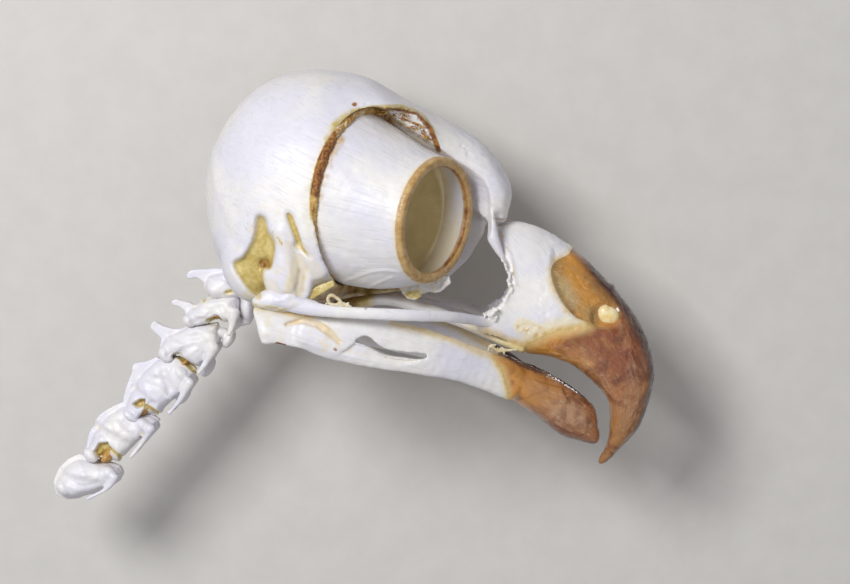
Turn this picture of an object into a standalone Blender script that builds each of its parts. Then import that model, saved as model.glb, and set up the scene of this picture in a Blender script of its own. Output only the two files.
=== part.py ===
"""The skull of an owl with its bony eye tubes, horn sheaths and the first eight neck bones, life size.

Sizes and places are in millimetres in the skull's own frame: +X runs forward to the bill, +Y to the
animal's left and +Z up to the crown, from a point just below the back of the head. mesh_object() turns
them into metres, and the specimen empty lays the whole skull on its left side, on Z = 0.
"""

import math

import bmesh
import bpy
import numpy as np
from mathutils import Euler, Matrix, Vector

MM = 0.001
GAP = 0.3
SWELL_GRAIN = 0.4
STEPS = 4

# How the specimen lies: on its left side, resting on the eye tube's rim and the side of the head.
LIE_TURN_DEG = (-92.84, -3.55, 0.0)
LIE_SHIFT_MM = (-15.012, -2.059, 20.296)

# Eye tube: a bony cone that widens backwards into the orbit.
RING_CENTRE = np.array((28.6, -13.5, 12.6))
RING_RADIUS = 9.05
TUBE_AXIS = np.array((0.835, -0.534, -0.133))
TUBE_SIDE = np.array((-0.534, -0.845, 0.0))
TUBE_LENGTH = 11.6
TUBE_WALL = 1.0
BASE_OFFSET = (3.9, 1.4)
BASE_RADII = (10.6, 12.7)
TUBE_FLARE = 1.7
TUBE_SIDES = 40

BONE_WHITE = (0.86, 0.84, 0.79)
TUBE_WHITE = (0.84, 0.83, 0.80)
HORN_AMBER = (0.50, 0.23, 0.08)


def through(rows, steps=STEPS):
    """Rows of numbers on a smooth curve through the given rows, with so many steps between two of them."""
    rows = np.array(rows, float)
    padded = np.vstack((2 * rows[0] - rows[1], rows, 2 * rows[-1] - rows[-2]))
    out = []
    for i in range(len(rows) - 1):
        a, b, c, d = padded[i : i + 4]
        for k in range(steps):
            t = k / steps
            square = (2 * a - 5 * b + 4 * c - d) * t**2
            cube = (3 * b - a - 3 * c + d) * t**3
            out.append(0.5 * (2 * b + (c - a) * t + square + cube))
    out.append(rows[-1])
    return np.array(out)


def skin(rings):
    """A closed form over a row of rings with equal numbers of points, with a fan at each end."""
    rings = [np.array(ring, float) for ring in rings]
    sides = len(rings[0])
    points = np.vstack(rings + [rings[0].mean(0)[None], rings[-1].mean(0)[None]])
    first, last = len(points) - 2, len(points) - 1
    faces = []
    for r in range(len(rings) - 1):
        for k in range(sides):
            a, b = r * sides + k, r * sides + (k + 1) % sides
            faces.append((a, b, b + sides, a + sides))
    top = (len(rings) - 1) * sides
    for k in range(sides):
        faces.append((first, (k + 1) % sides, k))
        faces.append((last, top + k, top + (k + 1) % sides))
    return outward((points, faces))


def outward(form):
    """The form with its faces pointing out."""
    points, faces = form
    volume = sum(
        np.dot(points[f[0]], np.cross(points[f[k]], points[f[k + 1]]))
        for f in faces
        for k in range(1, len(f) - 1)
    )
    return (points, faces) if volume > 0 else (points, [tuple(reversed(f)) for f in faces])


def ribs(stations, sides=28, steps=STEPS, square=2.0, keel=2.0):
    """A form symmetric about the middle plane, over stations of
    (upper x, upper z, lower x, lower z, half width, share of the height where it is widest).
    square and keel are the superellipse powers of the upper and lower halves."""
    angles = np.linspace(0, 2 * math.pi, sides, endpoint=False)
    rings = []
    for ux, uz, lx, lz, half, widest in through(stations, steps):
        upper, lower = np.array((ux, uz)), np.array((lx, lz))
        middle = lower + (upper - lower) * widest
        ring = []
        for angle in angles:
            power = 2 / (square if math.cos(angle) > 0 else keel)
            along = abs(math.cos(angle)) ** power
            across = math.copysign(abs(math.sin(angle)) ** power, math.sin(angle))
            x, z = middle + along * ((upper if math.cos(angle) > 0 else lower) - middle)
            ring.append((x, half * across, z))
        rings.append(ring)
    return skin(rings)


def limb(stations, up=(0, 0, 1), sides=12, steps=STEPS, blunt=0.7):
    """A bar through stations of (x, y, z, half size across, half size along up), with rounded ends."""
    rows = through(stations, steps)
    centres = rows[:, :3]
    run = np.gradient(centres, axis=0)
    run /= np.linalg.norm(run, axis=1)[:, None]
    angles = np.linspace(0, 2 * math.pi, sides, endpoint=False)
    up = np.array(up, float)

    def ring(index, shift, scale):
        across = np.cross(run[index], up)
        across /= np.linalg.norm(across)
        tall = np.cross(across, run[index])
        centre = centres[index] + run[index] * shift
        return [
            centre
            + across * (math.cos(t) * rows[index, 3] * scale)
            + tall * (math.sin(t) * rows[index, 4] * scale)
            for t in angles
        ]

    start, end = min(rows[0, 3:]) * blunt, min(rows[-1, 3:]) * blunt
    rings = [ring(0, -start, 0.35), ring(0, -start * 0.7, 0.72)]
    rings += [ring(i, 0, 1) for i in range(len(rows))]
    rings += [ring(-1, end * 0.7, 0.72), ring(-1, end, 0.35)]
    return skin(rings)


def ball(centre, radii, turn=(0, 0, 0)):
    """An ellipsoid, turned by degrees about X, Y and Z."""
    shape = bmesh.new()
    bmesh.ops.create_uvsphere(shape, u_segments=20, v_segments=12, radius=1)
    spin = Euler([math.radians(a) for a in turn]).to_matrix()
    points = np.array([spin @ Vector([v.co[i] * radii[i] for i in range(3)]) for v in shape.verts])
    faces = [tuple(v.index for v in f.verts) for f in shape.faces]
    shape.free()
    return outward((points + np.array(centre), faces))


def slab(outline, low, high):
    """An outline of (x, z) points, made solid from y = low to y = high."""
    rings = [[(x, y, z) for x, z in outline] for y in (low, high)]
    count = len(outline)
    points = np.array(rings[0] + rings[1], float)
    faces = [tuple(range(count)), tuple(range(2 * count - 1, count - 1, -1))]
    for k in range(count):
        n = (k + 1) % count
        faces.append((n, k, k + count, n + count))
    return outward((points, faces))


def hull(points):
    """The convex form round a cloud of points."""
    shape = bmesh.new()
    for p in points:
        shape.verts.new(p)
    made = bmesh.ops.convex_hull(shape, input=shape.verts)
    kept = {v for face in made["geom"] if isinstance(face, bmesh.types.BMFace) for v in face.verts}
    loose = [v for v in shape.verts if v not in kept]
    bmesh.ops.delete(shape, geom=loose, context="VERTS")
    shape.verts.index_update()
    form = (np.array([v.co[:] for v in shape.verts]), [tuple(v.index for v in f.verts) for f in shape.faces])
    shape.free()
    return outward(form)


def left(form):
    """The form mirrored to the animal's left side."""
    points, faces = form
    return points * np.array((1, -1, 1)), [tuple(reversed(f)) for f in faces]


def both(*forms):
    """The forms and their mirror images."""
    return list(forms) + [left(form) for form in forms]


def mesh_object(name, forms):
    """One object of several closed forms, in metres."""
    points, faces, base = [], [], 0
    for form_points, form_faces in forms:
        points.extend((form_points * MM).tolist())
        faces.extend([tuple(i + base for i in f) for f in form_faces])
        base += len(form_points)
    mesh = bpy.data.meshes.new(name)
    mesh.from_pydata(points, [], faces)
    obj = bpy.data.objects.new(name, mesh)
    bpy.context.scene.collection.objects.link(obj)
    return obj


def settle(obj, largest=True):
    """Applies the object's modifiers, and keeps its largest closed surface."""
    bpy.context.view_layer.update()
    graph = bpy.context.evaluated_depsgraph_get()
    mesh = bpy.data.meshes.new_from_object(obj.evaluated_get(graph))
    obj.modifiers.clear()
    obj.data = mesh
    shape = bmesh.new()
    shape.from_mesh(mesh)
    bmesh.ops.triangulate(shape, faces=shape.faces)
    islands, seen = [], set()
    for start in shape.verts if largest else []:
        if start in seen:
            continue
        island, queue = [], [start]
        seen.add(start)
        while queue:
            vertex = queue.pop()
            island.append(vertex)
            for edge in vertex.link_edges:
                other = edge.other_vert(vertex)
                if other not in seen:
                    seen.add(other)
                    queue.append(other)
        islands.append(island)
    islands.sort(key=len)
    bmesh.ops.delete(shape, geom=[v for island in islands[:-1] for v in island], context="VERTS")
    shape.to_mesh(mesh)
    shape.free()
    return obj


def remesh(obj, grain):
    """Fuses all that overlaps in the object into one even surface."""
    modifier = obj.modifiers.new("Fuse", "REMESH")
    modifier.mode = "VOXEL"
    modifier.voxel_size = grain * MM


def cut(obj, cutter, operation="DIFFERENCE", largest=True):
    modifier = obj.modifiers.new("Cut", "BOOLEAN")
    modifier.operation = operation
    modifier.object = cutter
    settle(obj, largest)
    bpy.data.objects.remove(cutter)


def reduce(obj, triangles):
    """Brings the object down to so many triangles."""
    settle(obj)
    modifier = obj.modifiers.new("Reduce", "DECIMATE")
    modifier.ratio = min(1.0, triangles / len(obj.data.polygons))
    settle(obj)


def swollen(obj):
    """A copy of the object, GAP larger all round."""
    copy = bpy.data.objects.new("swollen", obj.data.copy())
    bpy.context.scene.collection.objects.link(copy)
    grow = copy.modifiers.new("Grow", "DISPLACE")
    grow.mid_level = 0
    grow.strength = GAP * MM
    remesh(copy, SWELL_GRAIN)
    return settle(copy)


def meet(obj, *neighbours):
    """Cuts the object back so that it meets its neighbours face to face."""
    for neighbour in neighbours:
        cut(obj, swollen(neighbour))
    return obj


def bone(name, forms, cuts=(), grain=0.5, smoothing=3):
    """One bone: forms fused into one surface, less the cuts, and smoothed."""
    obj = mesh_object(name, forms)
    remesh(obj, grain)
    settle(obj)
    for form in cuts:
        cut(obj, mesh_object("cutter", [form]))
    if cuts:
        remesh(obj, grain)
    smooth = obj.modifiers.new("Smooth", "SMOOTH")
    smooth.factor = 0.5
    smooth.iterations = smoothing
    return settle(obj)


def material(name, colour, roughness):
    made = bpy.data.materials.new(name)
    made.use_nodes = True
    shader = made.node_tree.nodes["Principled BSDF"]
    shader.inputs["Base Color"].default_value = (*colour, 1)
    shader.inputs["Roughness"].default_value = roughness
    return made


def tube_ring(along, swell=0.0, side_shift=(0.0, 0.0, 0.0)):
    """The right eye tube's outline where it stands so far behind (below zero) its front ring."""
    rise = np.cross(TUBE_SIDE, TUBE_AXIS)
    share = min(1.0, max(0.0, -along / TUBE_LENGTH))
    flare = share**TUBE_FLARE
    centre = RING_CENTRE + TUBE_AXIS * along
    centre = centre + TUBE_SIDE * BASE_OFFSET[0] * flare + rise * BASE_OFFSET[1] * flare
    across = RING_RADIUS + (BASE_RADII[0] - RING_RADIUS) * flare + swell
    tall = RING_RADIUS + (BASE_RADII[1] - RING_RADIUS) * flare + swell
    return [
        centre + np.array(side_shift) + TUBE_SIDE * (across * math.cos(t)) + rise * (tall * math.sin(t))
        for t in np.linspace(0, 2 * math.pi, TUBE_SIDES, endpoint=False)
    ]


def orbit_form():
    """The hollow of the right orbit: round the tube, domed behind it and open to the side."""
    cloud = []
    dome_depth = 7.5
    for k in range(5):
        angle = math.radians(90) * k / 4.4
        ring = np.array(tube_ring(-TUBE_LENGTH, GAP))
        centre = ring.mean(0)
        cloud.extend(centre + (ring - centre) * math.cos(angle) - TUBE_AXIS * dome_depth * math.sin(angle))
    for shift in ((0, 0, 0), (5, -12, 0)):
        cloud.extend(tube_ring(-TUBE_LENGTH, GAP, shift))
        cloud.extend(tube_ring(1.5, 0.9, shift))
    return hull(cloud)


def eye_tube():
    """The right eye tube, open at both ends."""
    levels = [-TUBE_LENGTH * k / 6 for k in range(7)]
    outer = [tube_ring(level) for level in levels]
    inner = [tube_ring(level, -TUBE_WALL) for level in levels]
    rings = outer + inner[::-1]
    sides = TUBE_SIDES
    faces = []
    for r in range(len(rings)):
        n = (r + 1) % len(rings)
        for k in range(sides):
            j = (k + 1) % sides
            faces.append((r * sides + k, r * sides + j, n * sides + j, n * sides + k))
    return outward((np.vstack(rings), faces))


def braincase():
    vault = ribs(
        [
            (-6.4, 18.2, -6.4, 17.2, 0.5, 0.5),
            (-6.2, 20.0, -6.2, 13.5, 4.6, 0.5),
            (-5.4, 22.0, -5.4, 7.6, 8.8, 0.46),
            (-4.0, 25.1, -4.0, 3.4, 12.6, 0.44),
            (-2.0, 28.2, -2.0, 1.6, 15.2, 0.42),
            (1.0, 31.4, 1.0, 0.4, 17.8, 0.40),
            (5.0, 33.6, 5.0, -0.4, 19.4, 0.40),
            (10.0, 34.4, 10.0, -0.4, 20.3, 0.40),
            (14.5, 34.0, 14.5, 1.5, 19.8, 0.42),
            (18.0, 33.1, 18.0, 8.0, 17.0, 0.60),
            (20.5, 31.7, 20.5, 14.5, 14.8, 0.78),
            (23.2, 30.1, 23.2, 18.5, 13.0, 0.80),
            (26.0, 28.7, 26.0, 18.5, 10.4, 0.66),
            (28.5, 27.4, 28.5, 17.0, 8.5, 0.52),
            (31.5, 25.8, 31.5, 14.8, 7.4, 0.46),
            (34.5, 23.8, 34.5, 13.0, 7.0, 0.48),
            (37.0, 21.0, 36.6, 12.4, 6.6, 0.5),
            (38.8, 18.0, 38.0, 12.4, 5.6, 0.5),
            (39.3, 15.6, 38.7, 12.9, 3.6, 0.5),
        ],
        sides=36,
        square=2.6,
        keel=2.7,
    )
    septum = slab(
        [(12, 2), (12, 26), (24, 27), (34, 20), (35.6, 13), (35.2, 10), (33, 6.5), (29, 2.6), (20, 1.4)],
        -1.15,
        1.15,
    )
    rostrum = limb(
        [(9, 0, 0.8, 3.5, 1.6), (16, 0, 1.8, 2.2, 1.3), (24, 0, 2.5, 1.4, 1.0), (29, 0, 2.9, 0.9, 0.7)]
    )
    hinge_root = limb([(35.4, 0, 13.4, 4.6, 1.6), (38.0, 0, 12.4, 4.6, 1.0)])
    lacrimal = limb(
        [
            (34.8, -5.2, 15.4, 1.3, 1.6),
            (35.7, -6.0, 12.6, 1.1, 1.3),
            (36.2, -6.6, 10.6, 0.9, 1.1),
            (36.6, -6.9, 9.6, 0.7, 0.9),
        ],
        up=(1, 0, 0),
    )
    postorbital = limb(
        [(9.8, -18.9, 12.0, 1.2, 1.4), (10.6, -18.9, 7.6, 1.0, 1.5), (12.9, -18.1, 4.7, 0.7, 1.0)],
        up=(1, 0, 0),
    )
    pillar = limb(
        [
            (6.2, -17.6, 16.0, 1.6, 2.2),
            (6.4, -18.2, 11.5, 1.9, 2.7),
            (6.6, -18.5, 7.0, 2.0, 2.9),
            (6.6, -18.3, 3.6, 2.0, 2.7),
            (6.2, -17.6, 1.8, 1.6, 2.0),
        ],
        up=(1, 0, 0),
    )
    ear_wing = limb(
        [
            (0.6, -16.4, 12.4, 1.6, 1.4),
            (-0.9, -16.0, 8.6, 1.7, 1.3),
            (-1.3, -15.6, 5.2, 1.6, 1.1),
            (0.1, -15.8, 2.4, 1.5, 1.0),
            (2.6, -16.0, 0.9, 1.4, 1.0),
        ],
        up=(1, 0, 0),
    )
    condyle = ball((0.9, 0, 0.3), (1.6, 1.8, 1.5))
    forms = [vault, septum, rostrum, hinge_root, condyle] + both(lacrimal, postorbital, pillar, ear_wing)
    ear_hollow = limb(
        [
            (3.5, -19.9, 13.4, 1.4, 0.6),
            (3.0, -18.9, 10.4, 2.0, 1.0),
            (1.7, -17.9, 7.6, 2.6, 1.7),
            (1.2, -17.0, 5.0, 2.6, 1.9),
            (2.4, -16.6, 2.8, 2.4, 1.2),
        ],
        up=(1, 0, 0),
    )
    temporal_slit = ball((8.9, -20.8, 10.4), (0.95, 2.6, 4.3), (0, -22, 0))
    foramen = ball((-1.6, 0, -1.2), (2.2, 2.4, 2.4))
    cuts = both(orbit_form(), ear_hollow, temporal_slit) + [foramen]
    return bone("braincase", forms, cuts, grain=0.55)


UPPER_BILL = [
    (37.0, 11.0, 37.0, 9.9, 3.4, 0.5),
    (38.4, 11.7, 38.6, 8.6, 5.2, 0.5),
    (39.7, 11.9, 39.7, -3.6, 6.4, 0.42),
    (43.0, 11.1, 41.6, -7.8, 7.0, 0.36),
    (46.5, 9.2, 45.0, -8.3, 7.1, 0.34),
    (50.0, 6.5, 48.5, -9.7, 6.9, 0.32),
    (53.6, 2.9, 51.2, -11.9, 6.3, 0.34),
    (57.2, -1.4, 52.9, -13.6, 5.4, 0.36),
    (59.5, -5.6, 53.8, -15.2, 4.6, 0.40),
    (60.6, -10.0, 54.05, -17.0, 3.8, 0.44),
    (60.1, -14.2, 54.0, -19.0, 3.0, 0.46),
    (58.5, -18.7, 53.7, -21.0, 2.1, 0.48),
    (56.1, -21.7, 53.1, -22.6, 1.4, 0.5),
    (53.5, -24.3, 52.6, -23.7, 0.6, 0.5),
]
UPPER_SHEATH_EDGE = [
    (49.0, 12.0),
    (48.3, 7.8),
    (45.7, 6.0),
    (45.2, 4.0),
    (46.4, 0.9),
    (48.6, -1.8),
    (50.6, -3.2),
    (45.5, -4.1),
    (42.8, -5.5),
    (40.0, -7.4),
    (37.0, -8.6),
]
UPPER_SHEATH_BLOCK = UPPER_SHEATH_EDGE + [(36.0, -16.0), (48.0, -30.0), (66.0, -30.0), (66.0, 12.0)]

LOWER_BILL = [
    (36.4, -7.4, 36.6, -13.4, 7.7, 0.5),
    (39.2, -8.4, 39.4, -14.9, 6.9, 0.55),
    (42.1, -9.2, 43.0, -17.4, 5.8, 0.6),
    (45.0, -10.4, 46.5, -20.1, 4.6, 0.62),
    (48.0, -12.3, 48.8, -21.0, 3.6, 0.62),
    (50.2, -14.2, 50.6, -21.4, 2.6, 0.6),
    (51.7, -16.1, 52.0, -21.6, 1.5, 0.5),
    (52.1, -17.6, 52.6, -20.6, 0.6, 0.5),
]
LOWER_TROUGH = [
    (32.0, 0, -10.0, 7.6, 7.5),
    (37.0, 0, -10.2, 6.2, 6.2),
    (41.0, 0, -10.8, 4.7, 4.6),
    (45.0, 0, -12.2, 3.4, 3.6),
    (48.5, 0, -13.6, 2.2, 2.6),
    (50.6, 0, -14.6, 1.2, 1.6),
]
RAMUS = [
    (3.0, -16.4, -2.5, 1.7, 2.7),
    (6.0, -16.6, -2.6, 1.9, 3.0),
    (10.0, -16.4, -3.4, 1.3, 3.0),
    (15.0, -15.8, -4.4, 1.1, 3.3),
    (20.0, -14.8, -5.1, 0.95, 3.7),
    (25.0, -13.2, -6.2, 0.9, 3.6),
    (30.0, -11.0, -7.7, 0.95, 3.2),
    (34.0, -8.8, -9.2, 1.1, 2.9),
    (38.0, -6.6, -11.0, 1.3, 2.9),
    (40.0, -5.6, -12.2, 1.3, 2.6),
]
SYMPHYSIS = [
    (36.6, -7.0, -10.6, 1.1, 1.5),
    (40.0, -5.2, -12.0, 1.0, 1.4),
    (43.4, -2.9, -14.4, 1.0, 1.1),
    (44.6, 0.0, -15.6, 1.1, 0.9),
    (43.4, 2.9, -14.4, 1.0, 1.1),
    (40.0, 5.2, -12.0, 1.0, 1.4),
    (36.6, 7.0, -10.6, 1.1, 1.5),
]
LOWER_SHEATH_EDGE = [(35.6, -5.0), (37.2, -8.7), (38.1, -10.2), (38.8, -12.6), (39.2, -16.6)]
LOWER_SHEATH_BLOCK = LOWER_SHEATH_EDGE + [(44.0, -26.0), (58.0, -26.0), (58.0, -5.0)]


CHEEK_EDGE = [
    (41.0, 10.6),
    (38.0, 11.0),
    (36.5, 9.2),
    (37.4, 7.2),
    (38.7, 4.9),
    (39.4, 2.9),
    (39.3, 1.6),
    (38.4, 0.7),
    (37.2, 0.0),
    (36.2, -1.4),
    (36.4, -3.4),
    (38.4, -5.8),
    (42.0, -6.0),
]


def upper_bill_forms():
    """The upper bill, its hooked beak and the thin cheek plates at its rear."""
    beak = ribs(UPPER_BILL, sides=28, square=1.9, keel=2.9)
    cheek = slab(CHEEK_EDGE, -7.5, -6.3)
    ridge = limb([(37.4, -6.0, 11.4, 0.6, 0.6), (39.6, -6.9, 6.2, 0.5, 0.5), (41.4, -7.2, 1.0, 0.5, 0.4)])
    return [beak] + both(cheek, ridge)


def lower_bill_forms():
    return [ribs(LOWER_BILL, sides=28, square=2.4, keel=2.2)] + both(limb(RAMUS, sides=16))


def fenestra():
    """The slot through the right ramus: an arched end and a narrow tail."""
    return slab(
        [
            (16.6, -5.6),
            (18.0, -4.6),
            (19.6, -4.5),
            (20.9, -5.2),
            (22.0, -6.1),
            (24.4, -6.6),
            (26.6, -6.9),
            (26.9, -7.4),
            (26.4, -7.8),
            (24.0, -7.6),
            (21.6, -7.2),
            (19.6, -6.5),
            (18.0, -5.9),
        ],
        -20,
        -9,
    )


def part_of(name, forms, block, keep, cuts=(), more=(), grain=0.5):
    """The share of the forms inside the block (keep) or outside it, cut GAP apart."""
    side = 1 if keep else -1
    shifted = [(x + side * GAP / 2, z) for x, z in block]
    obj = mesh_object(name, forms)
    remesh(obj, grain)
    settle(obj)
    for form in cuts:
        cut(obj, mesh_object("cutter", [form]))
    smooth = obj.modifiers.new("Smooth", "SMOOTH")
    smooth.factor = 0.5
    smooth.iterations = 3
    settle(obj)
    cut(obj, mesh_object("cutter", [slab(shifted, -30, 30)]), "INTERSECT" if keep else "DIFFERENCE", not more)
    for form in more:
        cut(obj, mesh_object("piece", [form]), "UNION")
    return obj


def mirrored(obj, name):
    """The same part on the animal's left side."""
    mesh = obj.data.copy()
    mesh.transform(Matrix.Diagonal((1, -1, 1, 1)))
    mesh.flip_normals()
    copy = bpy.data.objects.new(name, mesh)
    bpy.context.scene.collection.objects.link(copy)
    return copy


def vertebra(name, front, rear, wide, tall, spine, hood, needle=None, lobe=None, crest=None):
    """A neck bone between two joints (x, z). Its spine, needle and crest run through (x, z, half size)
    points, its hood ends at (x, z) and its lobe is (x, z, half length, half height)."""
    front, rear = np.array(front, float), np.array(rear, float)
    length = np.linalg.norm(front - rear)
    ahead = (front - rear) / length
    above = np.array((-ahead[1], ahead[0]))
    middle = (front + rear) / 2

    def at(along, side, up, *sizes):
        x, z = middle + ahead * along * length + above * up * tall
        return (x, side * wide, z, *sizes)

    up = (above[0], 0, above[1])
    body = limb([at(-0.44, 0, -0.45, 1.5, 1.2), at(0, 0, -0.4, 1.4, 1.1), at(0.44, 0, -0.45, 1.9, 1.2)], up)
    arch = limb([at(-0.34, 0, 0.55, 2.1, 1.4), at(0.05, 0, 0.55, 2.0, 1.6), at(0.36, 0, 0.35, 2.2, 1.3)], up)
    facet = limb(
        [at(0.1, -0.5, 0.2, 1.0, 1.2), at(0.36, -0.72, 0.1, 1.0, 1.4), at(0.56, -0.8, 0.1, 0.7, 0.9)], up
    )
    flank = limb(
        [at(0.4, -0.62, -0.45, 0.9, 1.0), at(0.15, -0.7, -0.6, 0.8, 0.9), at(-0.1, -0.6, -0.6, 0.5, 0.6)], up
    )
    wall = limb(
        [at(-0.3, -0.5, 0.1, 1.1, 1.6), at(0.0, -0.56, 0.1, 1.2, 2.0), at(0.34, -0.62, 0.0, 1.2, 1.8)], up
    )
    start = at(0.1, -0.4, 0.6)
    end = (hood[0], -0.74 * wide, hood[1])
    bend = [(a + b) / 2 - (0.25 if k == 1 else 0) for k, (a, b) in enumerate(zip(start, end))]
    wing = limb([(*start, 1.2, 1.6), (*bend, 1.1, 1.8), (*end, 0.9, 1.2)], up)
    forms = [body, arch] + both(wing, facet, flank, wall)
    if spine:
        forms.append(limb([(x, 0, z, size * 0.55, size) for x, z, size in spine], up, blunt=0.9))
    if crest:
        forms.append(limb([(x, 0, z, size * 0.9, size) for x, z, size in crest], up))
    if needle:
        forms += both(limb([(x, -wide * 0.74, z, size, size) for x, z, size in needle], (0, 1, 0), sides=8))
    if lobe:
        x, z, across, depth = lobe
        forms.append(ball((x, 0, z), (across, 1.5, depth), (0, -60, 0)))
    return bone(name, forms, grain=0.42, smoothing=2)


VERTEBRAE = [
    dict(
        name="axis",
        front=(-1.3, 0.0),
        rear=(-4.2, -0.4),
        wide=3.4,
        tall=2.5,
        hood=(-6.5, 1.5),
        spine=[(-2.2, 2.8, 1.5), (-5.4, 3.6, 1.3), (-8.2, 3.8, 0.9), (-9.3, 3.5, 0.75)],
        lobe=(-2.2, -3.4, 1.3, 0.9),
    ),
    dict(
        name="cervical_3",
        front=(-3.4, -0.6),
        rear=(-6.8, -4.4),
        wide=3.8,
        tall=2.9,
        hood=(-9.9, -3.0),
        spine=[(-6.2, -1.4, 1.6), (-9.0, -1.3, 1.1), (-11.0, -0.6, 0.85), (-11.8, -0.4, 0.8)],
        needle=[(-3.0, -1.6, 1.0), (-2.9, -3.4, 0.6), (-3.1, -4.9, 0.35)],
        lobe=(-3.2, -6.1, 1.4, 0.8),
    ),
    dict(
        name="cervical_4",
        front=(-6.2, -4.4),
        rear=(-10.2, -10.3),
        wide=4.0,
        tall=3.2,
        hood=(-13.4, -8.2),
        spine=[(-9.6, -6.2, 2.0), (-12.6, -5.4, 1.5), (-14.3, -4.2, 0.9), (-14.9, -3.8, 0.7)],
        needle=[(-5.8, -6.0, 1.1), (-6.6, -8.4, 0.6), (-7.6, -10.9, 0.3)],
        lobe=(-6.0, -10.2, 1.5, 0.8),
        crest=[(-9.4, -6.6, 1.6), (-12.0, -8.4, 1.6), (-13.0, -9.6, 1.2)],
    ),
    dict(
        name="cervical_5",
        front=(-10.0, -10.4),
        rear=(-15.2, -16.2),
        wide=4.1,
        tall=3.4,
        hood=(-17.6, -17.4),
        spine=[(-13.6, -11.6, 2.3), (-16.6, -11.0, 2.1), (-17.8, -10.6, 1.2)],
        needle=[(-8.9, -11.3, 1.0), (-10.6, -14.0, 0.5), (-12.1, -16.6, 0.3)],
        lobe=(-9.8, -14.2, 1.3, 0.9),
        crest=[(-13.4, -12.2, 1.8), (-17.0, -12.9, 1.7), (-18.8, -14.0, 1.2)],
    ),
    dict(
        name="cervical_6",
        front=(-15.5, -16.2),
        rear=(-20.8, -22.6),
        wide=4.2,
        tall=3.6,
        hood=(-24.4, -25.2),
        spine=[(-18.6, -16.8, 1.6), (-21.4, -17.8, 1.6), (-23.2, -18.6, 1.1)],
        needle=[(-14.6, -18.0, 0.9), (-16.0, -21.0, 0.45), (-17.6, -23.2, 0.3)],
        crest=[(-17.6, -16.8, 1.6), (-20.6, -18.2, 1.9), (-23.2, -20.6, 2.0), (-24.8, -23.2, 1.4)],
    ),
    dict(
        name="cervical_7",
        front=(-20.9, -22.9),
        rear=(-26.8, -28.4),
        wide=4.2,
        tall=3.6,
        hood=(-29.0, -29.4),
        spine=[(-24.6, -22.6, 1.6), (-27.0, -23.2, 1.4), (-28.2, -23.8, 1.0)],
        needle=[(-20.2, -25.4, 0.9), (-21.4, -27.8, 0.5), (-23.8, -29.3, 0.3)],
        crest=[(-23.2, -22.8, 1.6), (-26.0, -24.0, 1.8), (-28.4, -26.0, 1.7), (-29.4, -27.6, 1.2)],
    ),
]


TRIANGLES = {
    "braincase": 2600,
    "upper_bill": 900,
    "upper_sheath": 800,
    "mandible": 1300,
    "lower_sheath": 600,
    "quadrate": 280,
    "jugal": 180,
    "palate": 700,
    "atlas": 240,
    "axis": 480,
    "cervical": 560,
}


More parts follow.
